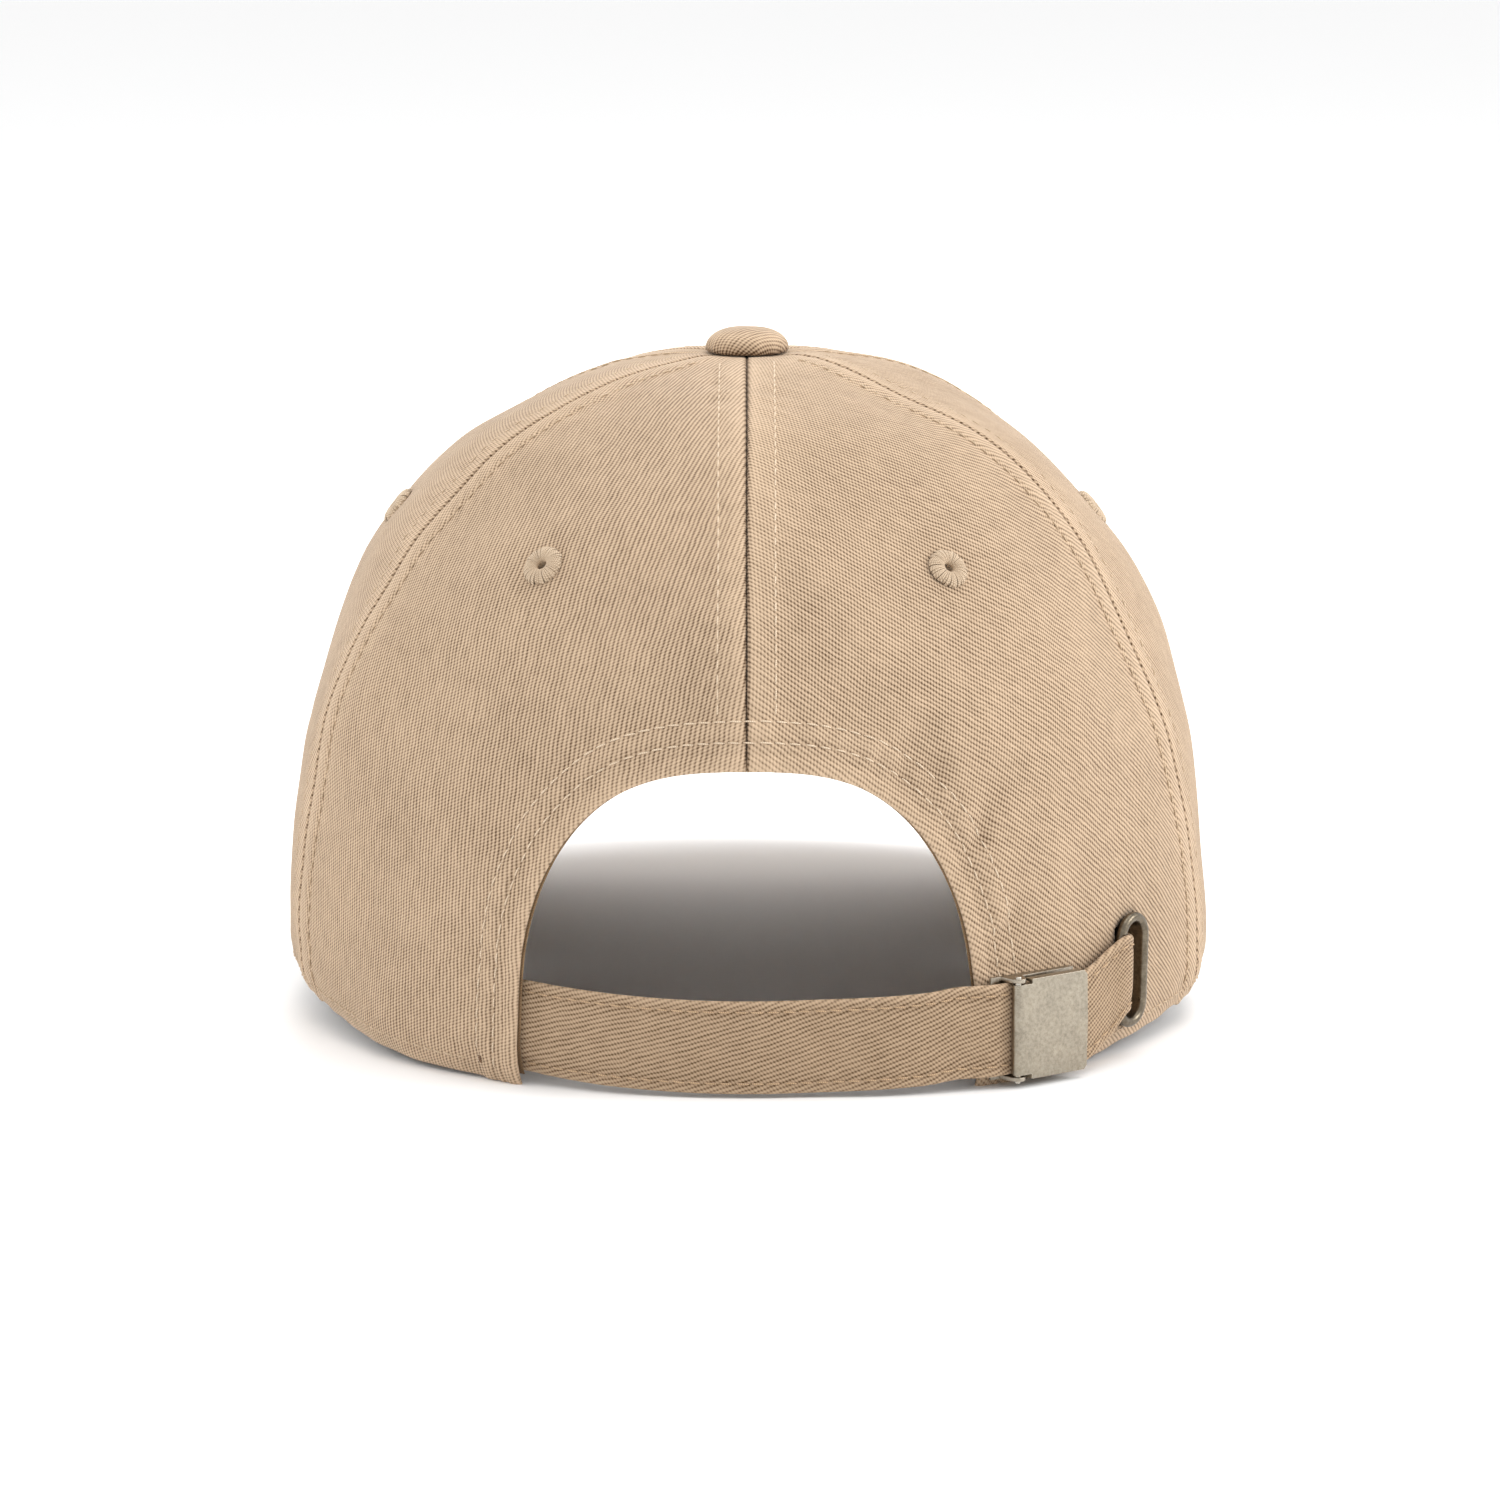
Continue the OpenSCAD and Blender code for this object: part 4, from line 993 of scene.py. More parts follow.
# ------------------------------------------------------------------ threads
def stitches(name, paths, normals, mats, body, length=2.6, gap=0.35, radius=0.17, sink=0.02):
    """Rows of lock stitches: each stitch is a small bowed piece of thread lying on the cloth."""
    verts, faces, weave = [], [], []
    sides, rings = 6, 5
    base = 0
    for path, nrm in zip(paths, normals):
        path, nrm = np.asarray(path), np.asarray(nrm)
        arc = np.concatenate([[0], np.cumsum(np.linalg.norm(np.diff(path, axis=0), axis=1))])
        total = arc[-1]
        count = max(1, int(total / (length + gap)))
        rng = np.random.RandomState(int(total * 10) % 9973)
        for c in range(count):
            s0 = (c + 0.5) * total / count + rng.uniform(-0.12, 0.12)
            L = length * (1 + rng.uniform(-0.07, 0.07))
            ss = s0 + L * np.linspace(-0.5, 0.5, rings)
            pts = np.stack([np.interp(ss, arc, path[:, i]) for i in range(3)], -1)
            ns = np.stack([np.interp(ss, arc, nrm[:, i]) for i in range(3)], -1)
            ns /= np.linalg.norm(ns, axis=-1, keepdims=True)
            tang = pts[-1] - pts[0]
            tang /= max(np.linalg.norm(tang), 1e-9)
            side = np.cross(tang, ns)
            side /= np.linalg.norm(side, axis=-1, keepdims=True)
            prof = np.array([0.45, 0.92, 1.0, 0.92, 0.45])
            lift = np.array([-0.14, 0.05, 0.10, 0.05, -0.14]) + sink
            slant = rng.uniform(0.02, 0.10) * np.linspace(-1, 1, rings)
            for i in range(rings):
                for j in range(sides):
                    a = 2 * math.pi * j / sides
                    verts.append(pts[i] + ns[i] * (lift[i] + radius * prof[i] * math.sin(a))
                            + side[i] * (slant[i] + radius * prof[i] * math.cos(a)))
                    weave.append((ss[i], a / (2 * math.pi), s0))
            for i in range(rings - 1):
                for j in range(sides):
                    a, b = base + i * sides + j, base + i * sides + (j + 1) % sides
                    faces.append((a, b, b + sides, a + sides))
            faces.append(tuple(base + j for j in reversed(range(sides))))
            faces.append(tuple(base + (rings - 1) * sides + j for j in range(sides)))
            base += rings * sides
    ob = as_object(name, verts, faces, mats, weave)
    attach(ob, body)
    return ob


def on_skin(th, e, d=0.0):
    p = skin(th, e, d)
    n = crown_normal(np.asarray(th, float), np.asarray(e, float))
    return p, n


# ------------------------------------------------------------------ the crown
STITCH_R = 0.18


def build_crown():
    for name, (kind, side, angle) in PANELS.items():
        panel(name, kind, side, angle)


def crown_rows():
    paths, normals, tan_paths, tan_normals = [], [], [], []

    def row(th, e, dark=False):
        p, n = on_skin(th, e)
        (tan_paths if dark else paths).append(p)
        (tan_normals if dark else normals).append(n)

    def beside_seam(seam, e, off):
        k = np.maximum(mm_per_degree(seam, e), 1e-3)
        return seam + off / k
    top = float(level(0.93))
    # rear centre seam, from the opening up
    e = np.linspace(ARCH_L + (HEM_ROWS[1] + 0.6) / 123, top, 300)
    for off in (-SEAM_ROW, SEAM_ROW):
        row(beside_seam(0 * e, e, off), e)
    # the four side seams
    e = np.linspace(4.2 / 120, top, 420)
    for fn in (rear_seam, front_seam):
        for side in (-1, 1):
            for off in (-SEAM_ROW, SEAM_ROW):
                row(side * beside_seam(fn(e), e, off), e, True)
    e = np.linspace(4.0 / 100, top, 300)
    for off in (-SEAM_ROW, SEAM_ROW):
        row(beside_seam(180 + 0 * e, e, off), e)
    # two rows round the rear opening
    for d in HEM_ROWS:
        ang = np.linspace(-89.3, 89.3, 420)
        th, e = arch_place(ang, d)
        row(th, np.maximum(e, 0.012))
    # one row above the hem, all round but for the opening
    lim = ARCH_A + 7.5
    th = np.concatenate([np.linspace(lim, 60, 80), np.linspace(60, 300, 600)[1:],
            np.linspace(300, 360 - lim, 80)[1:]])
    e = share_at(th, rim_z(th) + 3.4)
    row(th, e, True)
    stitches("thread_seams", paths, normals, mat_thread_pale, "cap", 2.3, 0.5, STITCH_R, 0.05)
    stitches("thread_hems", tan_paths, tan_normals, mat_thread, "cap", 2.3, 0.5, STITCH_R, 0.05)


def bar_tack():
    """A short dense tack across the hem at the opening's lower left corner, and one on the right."""
    paths, normals = [], []
    for side, base, up in ((-1, ARCH_A + 5.4, 3.4), (1, ARCH_A + 5.4, 3.4)):
        for i in range(4):
            z = up + i * 0.36
            th = side * (base + np.linspace(-0.5, 0.5, 7))
            e = share_at(th, rim_z(th) + z)
            p, n = on_skin(th, e)
            paths.append(p)
            normals.append(n)
    stitches("thread_tacks", paths, normals, mat_thread_dark, "cap", 1.5, 0.0, 0.17, 0.06)


mat_thread_dark = thread_material("thread_brown", srgb(140, 106, 74), srgb(84, 60, 40))


def eyelet(name, th, side):
    """Satin-stitched eyelet: radial threads that wrap from the hole over a raised ring."""
    c = crown_point(np.array([th]), np.array([EYELET_L]))
    n = crown_normal(np.array([float(th)]), np.array([EYELET_L]))[0]
    c = skin(np.array([float(th)]), np.array([EYELET_L]))[0] + n * 0.34
    ax = np.cross(np.array([0, 0, 1.0]), n)
    ax /= np.linalg.norm(ax)
    ay = np.cross(n, ax)
    verts, faces, weave, wear_and_shade = [], [], [], []
    rng = np.random.RandomState(int(abs(th) * 7) + (3 if side > 0 else 0))
    count = 46
    prof = [(0.86, -1.45), (0.90, -0.7), (0.94, -0.1), (1.12, 0.34), (1.6, 0.66), (2.3, 0.80),
            (3.0, 0.70), (3.55, 0.42), (3.9, 0.02), (4.0, -0.34)]
    sides = 6
    for i in range(count):
        a0 = 2 * math.pi * (i + rng.uniform(-0.18, 0.18)) / count
        reach = 1 + rng.uniform(-0.05, 0.035)
        base = len(verts)
        for k, (r, z) in enumerate(prof):
            f = k / (len(prof) - 1)
            rr = r * (1 + (reach - 1) * f)
            half = max(0.10, math.pi * rr / count * 1.04)
            thick = 0.11 + 0.05 * math.sin(math.pi * f)
            a = a0 + 0.02 * math.sin(3 * f)
            d = ax * math.cos(a) + ay * math.sin(a)
            t = -ax * math.sin(a) + ay * math.cos(a)
            lift = rng.uniform(0, 0.02)
            for j in range(sides):
                w = 2 * math.pi * j / sides
                verts.append(c + d * (rr - thick * 0.3 * math.cos(w) * (1 if k < 3 else 0))
                        + n * (z + lift + thick * math.sin(w)) + t * half * math.cos(w))
                weave.append((rr * 1.2 + i, w / 6.28, i * 0.37))
                wear_and_shade.append(0.0)
        for k in range(len(prof) - 1):
            for j in range(sides):
                p, q = base + k * sides + j, base + k * sides + (j + 1) % sides
                faces.append((p, q, q + sides, p + sides))
        faces.append(tuple(base + j for j in reversed(range(sides))))
        faces.append(tuple(base + (len(prof) - 1) * sides + j for j in range(sides)))
    # the padded ground under the threads
    ring = [(1.05, -1.5), (1.05, -0.2), (1.3, 0.22), (2.3, 0.62), (3.3, 0.36), (3.7, -0.35),
            (3.3, -0.7), (1.9, -0.9), (1.7, -1.5)]
    base, m = len(verts), 40
    for r, z in ring:
        for i in range(m):
            a = 2 * math.pi * i / m
            verts.append(c + (ax * math.cos(a) + ay * math.sin(a)) * r + n * z)
            weave.append((r * 4, i * 0.4, 3))
            wear_and_shade.append(0)
    for k in range(len(ring)):
        k2 = (k + 1) % len(ring)
        for i in range(m):
            i2 = (i + 1) % m
            faces.append((base + k * m + i, base + k * m + i2, base + k2 * m + i2,
                    base + k2 * m + i))
    ob = as_object("threads_" + name, verts, faces, mat_eyelet, weave, wear_and_shade)
    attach(ob, "cap")
    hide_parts(name)


mat_eyelet = thread_material("eyelet_satin", srgb(216, 194, 166), srgb(150, 124, 96))


def build_eyelets():
    back = float(rear_seam(EYELET_L)) / 2
    sidem = float(rear_seam(EYELET_L) + front_seam(EYELET_L)) / 2
    front = float(front_seam(EYELET_L) + 180) / 2
    for kind, th in (("back", back), ("side", sidem), ("front", front)):
        for word, s in (("left", -1), ("right", 1)):
            eyelet(f"eyelet_{kind}_{word}", s * th, s)


def build_button():
    """Cloth-covered button: domed, with the cloth gathered under its rim."""
    m, prof = 96, []
    h, r, base = 5.0, 7.9, 0.9
    for a in np.linspace(90, 0, 26):
        prof.append((r * math.cos(a * DEG) ** 0.8 if a < 90 else 0.0,
                base + (h - base) * math.sin(a * DEG) ** 0.9))
    prof += [(7.86, 0.62), (7.6, 0.3), (7.1, 0.12), (6.3, 0.10), (6.2, 0.4), (6.3, 0.72)]
    verts, weave, wear_and_shade = [], [], []
    top = np.array([0, TOP_FWD, TOP_Z])
    arc = 0
    last = prof[0]
    for k, (rr, z) in enumerate(prof):
        arc += math.hypot(rr - last[0], z - last[1])
        last = (rr, z)
        for i in range(m):
            a = 2 * math.pi * i / m
            gather = 0.10 * math.sin(a * 19
                    + 1.3 * math.sin(a * 3)) * smooth(np.array((arc - 6.4)
                    / 3.0)) + 0.05 * math.sin(a * 5 + 1)
            lump = 0.07 * math.sin(a * 3 + 0.7) * math.sin(min(arc, 8) / 8 * math.pi)
            q = max(rr + gather * (1 if rr > 2 else 0), 0)
            verts.append(top + np.array([q * math.cos(a), q * math.sin(a), z + lump * 0.6]))
            weave.append((arc * math.cos(a) + 900, arc * math.sin(a), 5))
            # pale on the dome's rubbed shoulder; painted shade, darker under the rim where the cloth
            # tucks in
            wear_and_shade.append(0.30 * math.exp(-((arc - 6.8) / 1.6) ** 2)
                    - 0.7 * smooth(np.array((arc - 9.4) / 0.8)))
    faces = []
    for k in range(1, len(prof) - 1):
        for i in range(m):
            i2 = (i + 1) % m
            faces.append((k * m + i, (k + 1) * m + i, (k + 1) * m + i2, k * m + i2))
    for i in range(m):
        faces.append((0, m + i, m + (i + 1) % m))
    faces.append(tuple((len(prof) - 1) * m + i for i in reversed(range(m))))
    used = sorted({v for f in faces for v in f})
    index = {v: i for i, v in enumerate(used)}
    faces = [tuple(index[v] for v in f) for f in faces]
    ob = as_object("button_cloth", [verts[v] for v in used], faces, mat_button,
            [weave[v] for v in used], [wear_and_shade[v] for v in used])
    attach(ob, "cap")
    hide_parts("button_cover")


mat_button = twill("twill_button", 38, CLOTH, CLOTH_DARK, 0.86, 0.6)


# ------------------------------------------------------------------ strap and tab
def row_at(k, ks, grid):
    """The lengthwise row at share k of a band's width."""
    return np.array([[np.interp(k, ks, grid[:, j, i]) for i in range(3)]
            for j in range(grid.shape[1])])


def build_strap():
    ob, outer, inner, n, _, ks = webbing("strap_cloth", strap_path, STRAP_W, STRAP_T, mat_strap,
            "cap", "strap", 0.7, (2.0,), 1.0)
    paths, normals = [], []
    for side in (0, -1):
        k = (2.0 / STRAP_W) - 0.5 if side == 0 else 0.5 - 2.0 / STRAP_W
        nn = row_at(k, ks, n)[3:-3]
        for face, sign in ((outer, 1), (inner, -1)):
            paths.append(row_at(k, ks, face)[3:-3])
            normals.append(sign * nn)
    stitches("thread_strap", paths, normals, mat_thread_strap, "cap", 2.4, 0.5, 0.18, 0.04)
    ob, *_ = webbing("tab_cloth", tab_path, TAB_W, TAB_T, mat_strap, "cap",
            "buckle_tab", 0.35, (1.6,), 0.2)


mat_strap = twill("twill_strap", -162, srgb(172, 147, 120), srgb(88, 67, 47), 0.84, 0.9)
mat_thread_strap = thread_material("thread_strap", srgb(206, 176, 140), srgb(146, 114, 82))


# ------------------------------------------------------------------ inside layers
def crown_band(name, node, th, e, depth, t, mat, weave, rise=None):
    """A thin sheet inside the crown with rounded edges."""
    nr, nc = th.shape
    k = mm_per_degree(th, e)
    du = np.minimum(np.abs(th - th[:, :1]), np.abs(th - th[:, -1:])) * k
    z = crown_point(th, e)
    dv = np.minimum(np.linalg.norm(z - z[:1], axis=-1), np.linalg.norm(z - z[-1:], axis=-1))
    roll = roll_depth(np.minimum(du, dv), t)
    lump = 0 * th if rise is None else rise
    slow = np.minimum(sway(th, e), SHARED_SWAY)
    outer = crown_at(th, e, depth + roll - slow)
    inner = crown_at(th, e, depth + t - roll + lump - slow)
    faces = grid_faces(nr, nc)
    verts = np.concatenate([outer.reshape(-1, 3), inner.reshape(-1, 3)])
    if (th[0, -1] - th[0, 0]) < 0:
        faces = faces[:, ::-1]
    ob = as_object(name, verts, faces, mat, np.concatenate([weave.reshape(-1, 3)] * 2),
            np.zeros(len(verts)))
    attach(ob, "cap")
    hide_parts(node)
    return ob, inner


def edged(n, width, t=0.5):
    return edge_steps(n, np.array([width]), t)[0]


def build_lining():
    # seam tapes
    places = [("tape_rear", lambda e: 0 * e, 1), ("tape_front", lambda e: 180 + 0 * e, 1)]
    for word, s in (("left", -1), ("right", 1)):
        places.append(("tape_rear_" + word, rear_seam, s))
        places.append(("tape_front_" + word, front_seam, s))
    tape_rows, tape_norm = [], []
    for name, fn, s in places:
        first = 0.035 if name != "tape_rear" else ARCH_L + 0.012
        top = float(level(0.9))
        f = edged(70, 110.0)
        e = first + (top - first) * f
        c = fn(e)
        k = mm_per_degree(c, e)
        g = edged(8, TAPE_W) - 0.5
        th = s * (c[:, None] + g[None, :] * TAPE_W / k[:, None])
        ee = np.repeat(e[:, None], len(g), 1)
        arc = np.concatenate([[0],
                np.cumsum(np.linalg.norm(np.diff(crown_point(c * s, e), axis=0), axis=1))])
        weave = np.stack([np.repeat(g[None, :] * 12, len(e), 0),
                np.repeat(arc[:, None], len(g), 1), np.full_like(th, 3)], -1)
        rise = 0.08 * waves(crown_point(th, ee), 14, 61, 2)
        _, inner = crown_band("weave_" + name, name, th, ee, TAPE_D, LINING_T, mat_tape, weave,
                rise)
        for off in (-4.6, 4.6):
            thr = s * (c + off / k)
            p = crown_at(thr, e, 2.25 + 0.03 - np.minimum(sway(thr, e), SHARED_SWAY))
            tape_rows.append(p[4:-4])
            tape_norm.append(-crown_normal(thr, e)[4:-4])
    # facing round the rear opening
    c = np.linspace(-1, 1, 161)
    a = 90 * np.sign(c) * (1 - (1 - np.abs(c)) ** 1.7)
    f = edged(8, 12.0)
    wa, wl = ARCH_A + 12 / HALF_W / DEG, ARCH_L + 12 / TOP_Z
    th = (ARCH_A + 0.15 + (wa - ARCH_A - 0.15) * f)[:, None] * spow(np.sin(a * DEG),
            2 / ARCH_P)[None, :]
    e = np.maximum((ARCH_L + 0.002 + (wl - ARCH_L - 0.002) * f)[:, None]
            * np.abs(np.cos(a * DEG))[None, :] ** (2 / ARCH_P), 0.006)
    arc = np.cumsum(np.concatenate([[0],
            np.linalg.norm(np.diff(crown_point(th[0], e[0]), axis=0), axis=1)]))
    weave = np.stack([np.repeat(arc[None, :], len(f), 0), np.repeat(f[:, None] * 12, len(a), 1),
            np.full_like(th, 4)], -1)
    crown_band("weave_opening_binding", "opening_binding", th, e, BINDING_D, BINDING_T, mat_facing,
            weave, 0.05 * waves(crown_point(th, e), 12, 66, 2))
    # buckram behind the front panels
    for word, s in (("left", -1), ("right", 1)):
        e = 0.05 + 0.61 * edged(26, 80)
        lo = front_seam(e) + 1
        g = edged(26, 80)
        th = s * (lo[:, None] + (179.8 - lo)[:, None] * g[None, :])
        ee = np.repeat(e[:, None], len(g), 1)
        p = crown_point(th, ee)
        weave = np.stack([np.abs(wrapped(th) - 180) * 1.5, p[..., 2], np.full_like(th, 6)], -1)
        crown_band("weave_buckram_" + word, "buckram_" + word, th, ee, LINING_D, LINING_T,
                mat_buckram, weave)
    # sweatband
    g = edged(330, 400, 1.2)
    th = ARCH_A + 1.2 + (360 - 2 * ARCH_A - 2.4) * g
    f = edged(14, 31, 1.2)
    z = rim_z(th)[None, :] + (0.8 + 31.2 * f)[:, None]
    tt = np.repeat(th[None, :], len(f), 0)
    e = share_at(tt, z)
    arc = np.concatenate([[0],
            np.cumsum(np.linalg.norm(np.diff(crown_point(th, e[len(f) // 2]), axis=0), axis=1))])
    weave = np.stack([np.repeat(arc[None, :], len(f), 0), np.repeat((f * 31)[:, None], len(th), 1),
            np.full_like(tt, 7)], -1)
    p = crown_point(tt, e)
    rise = 0.30 * waves(p, 34, 71, 2) + 0.12 * waves(p, 9, 72, 2)
    rise = rise * np.sin(math.pi * np.clip(f, 0, 1))[:,
            None] - 0.25 * np.exp(-((f * 31.2 - 28.2) / 0.7) ** 2)[:, None]
    _, inner = crown_band("cloth_sweatband", "sweatband", tt, e, BAND_D, BAND_T, mat_sweat, weave,
            -0.25 + rise)
    rows, norms = [], []
    for up in (28.2, 2.2):
        z = rim_z(th) + 0.8 + up
        ee = share_at(th, z)
        j = int(np.argmin(np.abs(f * 31.2 - up)))
        rows.append(inner[j][6:-6])
        norms.append(-crown_normal(th, ee)[6:-6])
    stitches("thread_sweatband", rows, norms, mat_thread, "cap", 2.8, 0.4, 0.17, 0.0)
    stitches("thread_tapes", tape_rows, tape_norm, mat_thread, "cap", 2.6, 0.4, 0.15, 0.0)


# ------------------------------------------------------------------ visor
VISOR_ROWS = [3.2, 10.0, 17.0, 24.0, 31.0, 38.0, 45.0, 52.0]


def visor_lump(p0, dist):
    """Unevenness of the visor's cloth: slow lumps, and a furrow along each row of stitches."""
    body = np.concatenate([p0, np.zeros(p0.shape[:-1] + (1,))], -1)
    h = (0.10 * waves(body, 26, 81, 2) + 0.04 * waves(body, 9, 82, 2)) * smooth(dist / 3)
    for r in VISOR_ROWS:
        h = h - 0.20 * np.exp(-((dist - r) / 0.8) ** 2)
    return h


def visor_grid(nt, ns):
    t = np.linspace(-0.985, 0.985, nt)
    t = np.sign(t) * np.abs(t / 0.985) ** 0.9 * 0.985
    close = 0.985 - np.array([0.0005, 0.002, 0.005, 0.009])
    t = np.sort(np.concatenate([t, close, -close]))
    s = edge_steps(ns, np.array([70.0]), 1.6)[0]
    s = np.concatenate([np.linspace(0, 0.02, 3)[:-1], 0.02 + (1 - 0.02) * s[5:]])
    return t, s


def visor_edge_distance(t, share):
    p = visor_plan(t, share, np.zeros_like(share))
    b = np.linspace(-OUT_END, OUT_END, 600)
    edge = np.stack([VIS_HW * spow(np.sin(b * DEG), 2 / VIS_P),
            VIS_MY + VIS_HL * spow(np.cos(b * DEG), 2 / VIS_P)], -1)
    flat = p.reshape(-1, 2)
    out = np.empty(len(flat))
    for i in range(0, len(flat), 2000):
        out[i:i + 2000] = np.min(np.linalg.norm(flat[i:i + 2000, None, :] - edge[None], axis=-1),
                axis=1)
    return out.reshape(p.shape[:-1])


def visor_skin(name, node, up, mat):
    nt, ns = ((170, 84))
    t, s = visor_grid(nt, ns)
    T, S = np.meshgrid(t, s, indexing="ij")
    h = VIS_T / 2
    dist = visor_edge_distance(T, S)
    p0 = visor_plan(T, S, 0 * S)
    # the edge rolls over a half round
    ends = visor_plan(np.array([-0.985, 0.985])[:, None] + 0 * S[:2], S[:2], 0 * S[:2])
    to_end = np.minimum(np.min(np.linalg.norm(p0[:, :, None] - ends[0][None, None], axis=-1),
            axis=-1),
                        np.min(np.linalg.norm(p0[:, :, None] - ends[1][None, None], axis=-1),
                                axis=-1))
    x = np.clip(1 - np.minimum(dist, to_end) / h, 0, 1)
    x = np.where(S > 0.985, np.maximum(x, (S - 0.985) / 0.015), x)
    drop = h - np.sqrt(np.maximum(h * h - (x * h) ** 2, 0))
    drop = np.minimum(drop, h - 0.02)
    lump = visor_lump(p0, dist)
    if up:
        outer = visor_at(T, S, 0 * S, drop - lump)
        inner = visor_at(T, S, np.full_like(S, 0.0) + 0.7 * (x > 0), np.minimum(drop + 0.8, h))
    else:
        outer = visor_at(T, S, 0 * S, 2 * h - drop + lump)
        inner = visor_at(T, S, np.full_like(S, 0.0) + 0.7 * (x > 0),
                np.maximum(2 * h - drop - 0.8, h))
    weave = np.stack([p0[..., 0], p0[..., 1], np.full_like(S, 21.0 if up else 27.0)], -1)
    # pale where the edge is rubbed; painted shade, darker along each row of stitches in its furrow
    wear_and_shade = 0.45 * np.exp(-(dist / 1.6) ** 2)
    for r in VISOR_ROWS:
        wear_and_shade = wear_and_shade - 0.12 * np.exp(-((dist - r) / 0.7) ** 2)
    nt = len(t)
    faces = grid_faces(nt, len(s))
    verts = np.concatenate([outer.reshape(-1, 3), inner.reshape(-1, 3)])
    f0 = faces[(nt // 2) * (len(s) - 1) + len(s) // 2]
    test = np.cross(verts[f0[1]] - verts[f0[0]], verts[f0[2]] - verts[f0[0]])
    if (test[2] < 0) == up:
        faces = faces[:, ::-1]
    ob = as_object(name, verts, faces, mat, np.concatenate([weave.reshape(-1, 3)] * 2),
            np.concatenate([wear_and_shade.ravel()] * 2))
    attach(ob, "cap")
    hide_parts(node)


def visor_threads():
    paths, normals = [], []
    nt = 500
    t = np.linspace(-0.97, 0.97, nt)
    shares = np.linspace(0.03, 1, 160)
    T, S = np.meshgrid(t, shares, indexing="ij")
    dist = visor_edge_distance(T, S)
    for up in (True, False):
        for r in VISOR_ROWS:
            ok = dist.max(1) > r + 1.0
            pts = []
            for i in range(nt):
                if not ok[i]:
                    pts.append(None)
                    continue
                d = dist[i][::-1]
                j = int(np.argmax(d >= r))
                if j == 0:
                    pts.append(None)
                    continue
                f = (r - d[j - 1]) / max(d[j] - d[j - 1], 1e-6)
                sh = shares[::-1][j - 1] + (shares[::-1][j] - shares[::-1][j - 1]) * f
                if sh < 0.06:
                    pts.append(None)
                    continue
                pts.append((t[i], sh))
            run = []
            for q in pts + [None]:
                if q is None:
                    if len(run) > 20:
                        a = np.array(run)
                        lump = visor_lump(visor_plan(a[:, 0], a[:, 1], np.zeros(len(a))),
                                np.full(len(a), r))
                        depth = -lump - 0.06 if up else VIS_T + lump + 0.06
                        p = visor_at(a[:, 0], a[:, 1], np.zeros(len(a)), depth)
                        n = visor_normal(p[:, 0]) * (1 if up else -1)
                        paths.append(p)
                        normals.append(n)
                    run = []
                else:
                    run.append(q)
    stitches("thread_visor", paths, normals, mat_thread_visor, "cap", 2.8, 0.45, 0.17, 0.0)


mat_visor_top = twill("twill_visor_top", 45, CLOTH, CLOTH_DARK, 0.86, 1.0)
mat_visor_under = twill("twill_visor_under", -45, CLOTH, CLOTH_DARK, 0.86, 0.7)
mat_thread_visor = thread_material("thread_visor", srgb(206, 178, 142), srgb(150, 118, 86))


# ------------------------------------------------------------------ metal
SHARP_EDGE = 40


def dressed(node, material, name, bevel=0.12, segments=2, worn=0.9):
    """The CAD piece's own mesh with its corners eased; shows in place of the plain one."""
    src = frame["nodes"][node]
    me = src.data.copy()
    me.name = name
    ob = bpy.data.objects.new(name, me)
    bpy.context.scene.collection.objects.link(ob)
    bm = bmesh.new()
    bm.from_mesh(me)
    bmesh.ops.remove_doubles(bm, verts=bm.verts, dist=0.000002)
    bmesh.ops.dissolve_limit(bm, angle_limit=0.02, verts=bm.verts, edges=bm.edges)
    sharp = [e for e in bm.edges if len(e.link_faces) == 2
            and e.calc_face_angle(0) > SHARP_EDGE * DEG]
    if bevel:
        bmesh.ops.bevel(bm, geom=sharp, offset=bevel * MM, segments=segments, profile=0.5,
                affect="EDGES", clamp_overlap=True)
    bmesh.ops.triangulate(bm, faces=[f for f in bm.faces if len(f.verts) > 4])
    bm.normal_update()
    layer = bm.verts.layers.float.new("wear_and_shade")
    for v in bm.verts:
        angs = [e.calc_face_angle(0) for e in v.link_edges if len(e.link_faces) == 2]
        v[layer] = min(1.0, max(angs + [0]) / 0.9) * worn
    bm.to_mesh(me)
    bm.free()
    me.materials.clear()
    me.materials.append(material)
    me.polygons.foreach_set("use_smooth", [True] * len(me.polygons))
    me.set_sharp_from_angle(angle=50 * DEG)
    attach(ob, frame["nodes"][node]["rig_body"])
    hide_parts(node)
    return ob


def keep_node(node, material):
    for s in frame["nodes"][node].material_slots:
        s.material = material


def build_metal():
    dressed("buckle_cover", mat_brass, "brass_cover", 0.22, 3)
    dressed("buckle_frame", mat_dark_brass, "brass_frame", 0.14, 2)
    dressed("buckle_pin", mat_steel, "steel_pin", 0.12, 2)
    dressed("slot_ring", mat_dark_brass, "brass_ring", 0.0, 1, 0.25)
    dressed("slot_washer", mat_dark_brass, "brass_washer", 0.06, 1)
    keep_node("button_core", mat_button_metal)
    dressed("button_pin", mat_button_metal, "metal_button_pin", 0.2, 2)
    dressed("button_back", mat_button_metal, "metal_button_back", 0.2, 2)
    keep_node("visor_board", mat_board)


# ------------------------------------------------------------------ build
build_crown()
build_eyelets()
build_button()
build_strap()
build_lining()
visor_skin("cloth_visor_top", "visor_top_cover", True, mat_visor_top)
visor_skin("cloth_visor_under", "visor_under_cover", False, mat_visor_under)
build_metal()
crown_rows()
bar_tack()
visor_threads()


# ------------------------------------------------------------------ floor, light, camera
FLOOR_HALF, FLOOR_GREY = 6.0, 0.93   # metres; shade
CAMERA_LENS, CAMERA_RISE, CAMERA_DIST = 161.3, 9.8, 1.3   # mm, degrees, metres
AIM_X, AIM_Z = 0.6, 48.3   # mm


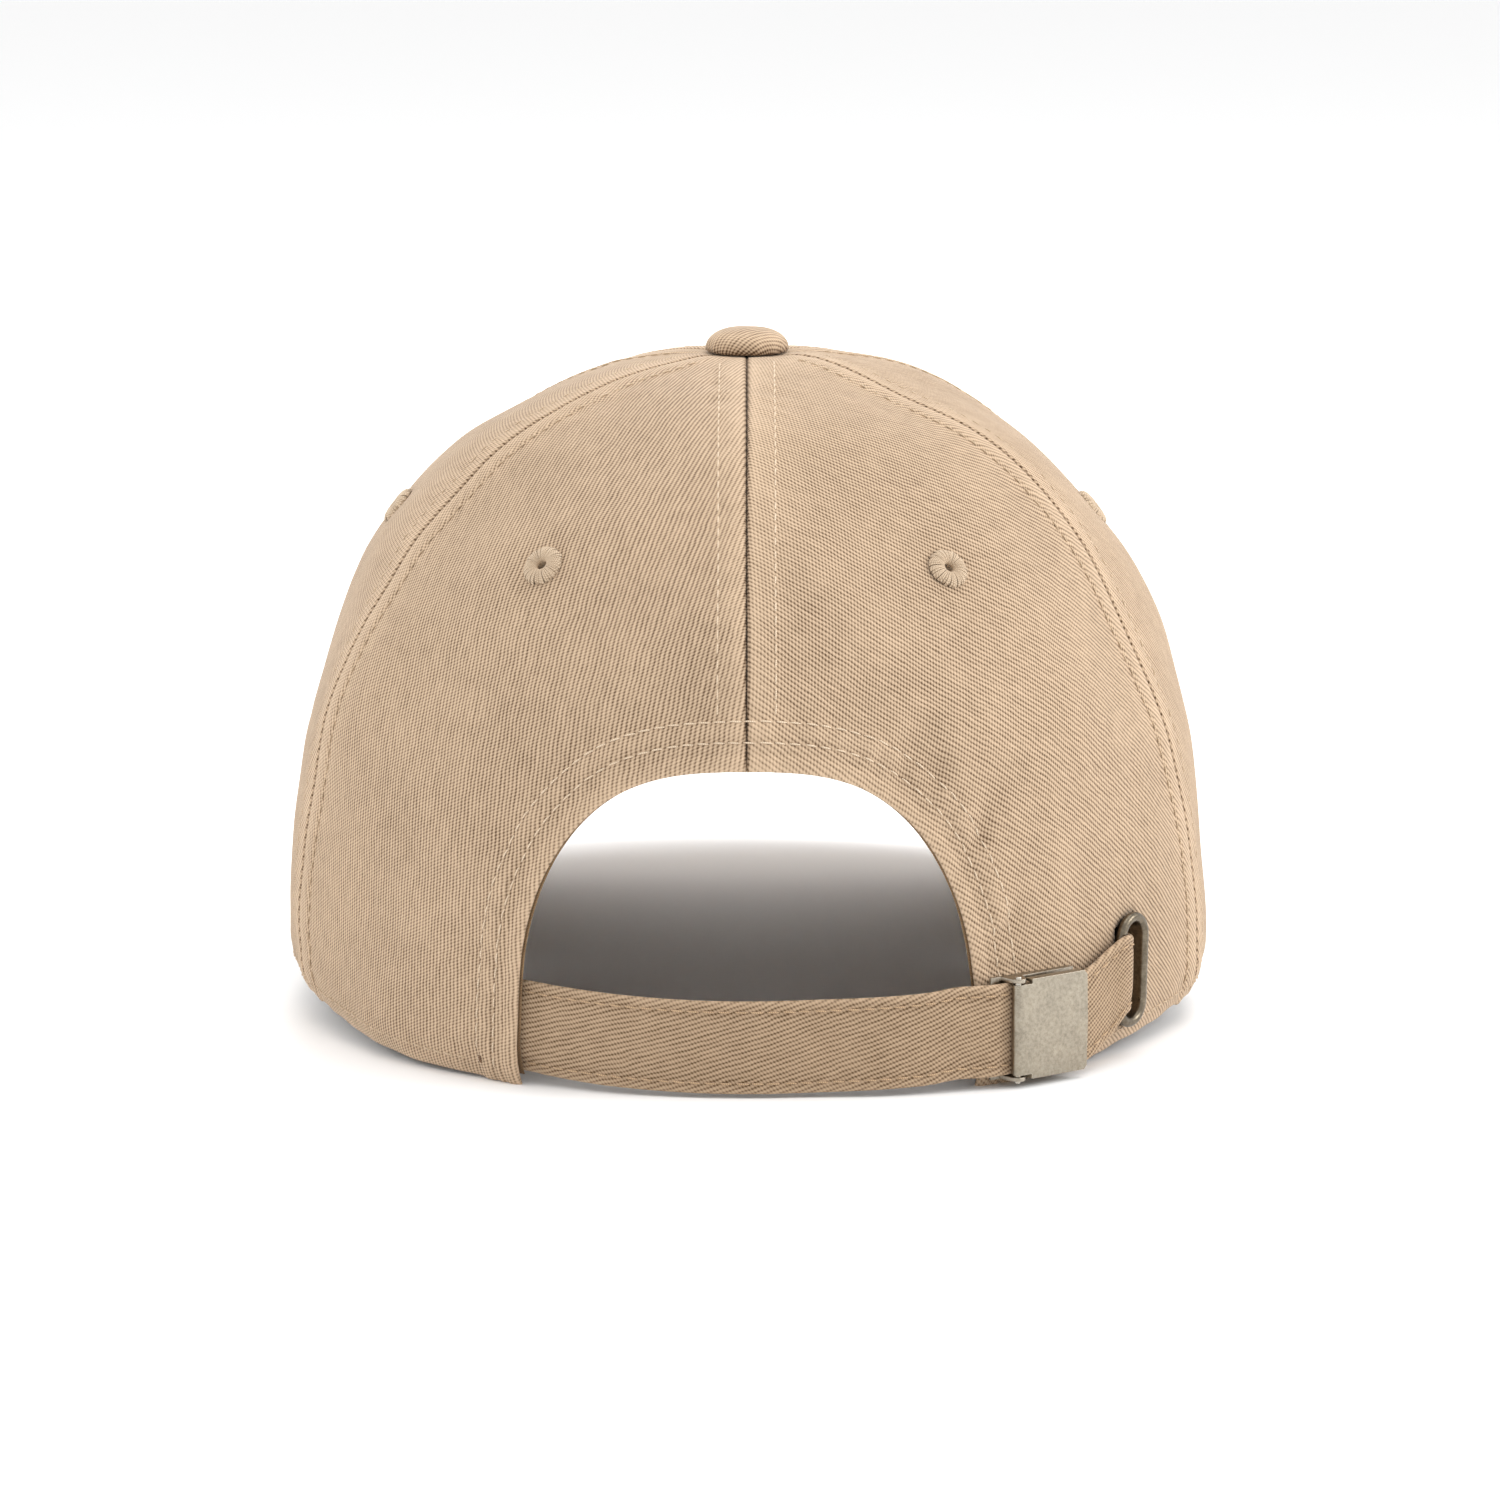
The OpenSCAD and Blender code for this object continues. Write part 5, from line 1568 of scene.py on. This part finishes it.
def stage_and_light():
    bm = bmesh.new()
    r = FLOOR_HALF
    vs = [bm.verts.new((x, y, 0)) for x, y in ((-r, -r), (r, -r), (r, r), (-r, r))]
    bm.faces.new(vs)
    me = bpy.data.meshes.new("floor")
    bm.to_mesh(me)
    bm.free()
    floor = bpy.data.objects.new("floor", me)
    bpy.context.scene.collection.objects.link(floor)
    m, nt, bsdf = new_material("floor_white")
    bsdf.inputs["Base Color"].default_value = rgb(FLOOR_GREY, FLOOR_GREY, FLOOR_GREY)
    bsdf.inputs["Roughness"].default_value = 0.6
    bsdf.inputs["Specular IOR Level"].default_value = 0.1
    me.materials.append(m)
    w = bpy.data.worlds.new("studio")
    bpy.context.scene.world = w
    w.use_nodes = True
    nt = w.node_tree
    bg = nt.nodes["Background"]
    bg.inputs["Color"].default_value = (1, 1, 1, 1)
    bg.inputs["Strength"].default_value = 1.0
    # name, place, disc size, watts, aim
    lamps = [("key_top", (0.20, -0.02, 1.5), 1.3, 8.9, (0, -0.02, 0.05)),
             ("fill_left", (-1.4, 0.1, 0.7), 0.8, 6.5, (0, -0.05, 0.06)),
             ("fill_right", (1.35, -0.15, 0.75), 0.8, 11.5, (0, -0.05, 0.06)),
             ("far_low", (0.0, 1.5, 0.42), 0.8, 8.0, (0, 0.10, 0.0))]
    for name, pos, size, power, aim in lamps:
        d = bpy.data.lights.new(name, "AREA")
        d.shape = "DISK"
        d.size = size
        d.energy = power
        ob = bpy.data.objects.new(name, d)
        bpy.context.scene.collection.objects.link(ob)
        ob.location = pos
        ob.rotation_euler = (Vector(aim) - Vector(pos)).to_track_quat("-Z", "Y").to_euler()


def camera():
    cam = bpy.data.cameras.new("camera")
    cam.sensor_width = 36
    cam.lens = CAMERA_LENS
    ob = bpy.data.objects.new("camera", cam)
    bpy.context.scene.collection.objects.link(ob)
    aim = Vector((AIM_X * MM, -Y_MID * MM, AIM_Z * MM))
    el, dist = CAMERA_RISE * DEG, CAMERA_DIST
    ob.location = aim + Vector((0, -math.cos(el), math.sin(el))) * dist
    ob.rotation_euler = (aim - ob.location).to_track_quat("-Z", "Y").to_euler()
    cam.clip_end = 50
    bpy.context.scene.camera = ob


stage_and_light()
camera()
bpy.context.scene.view_settings.view_transform = "Standard"
bpy.context.scene.view_settings.look = "None"
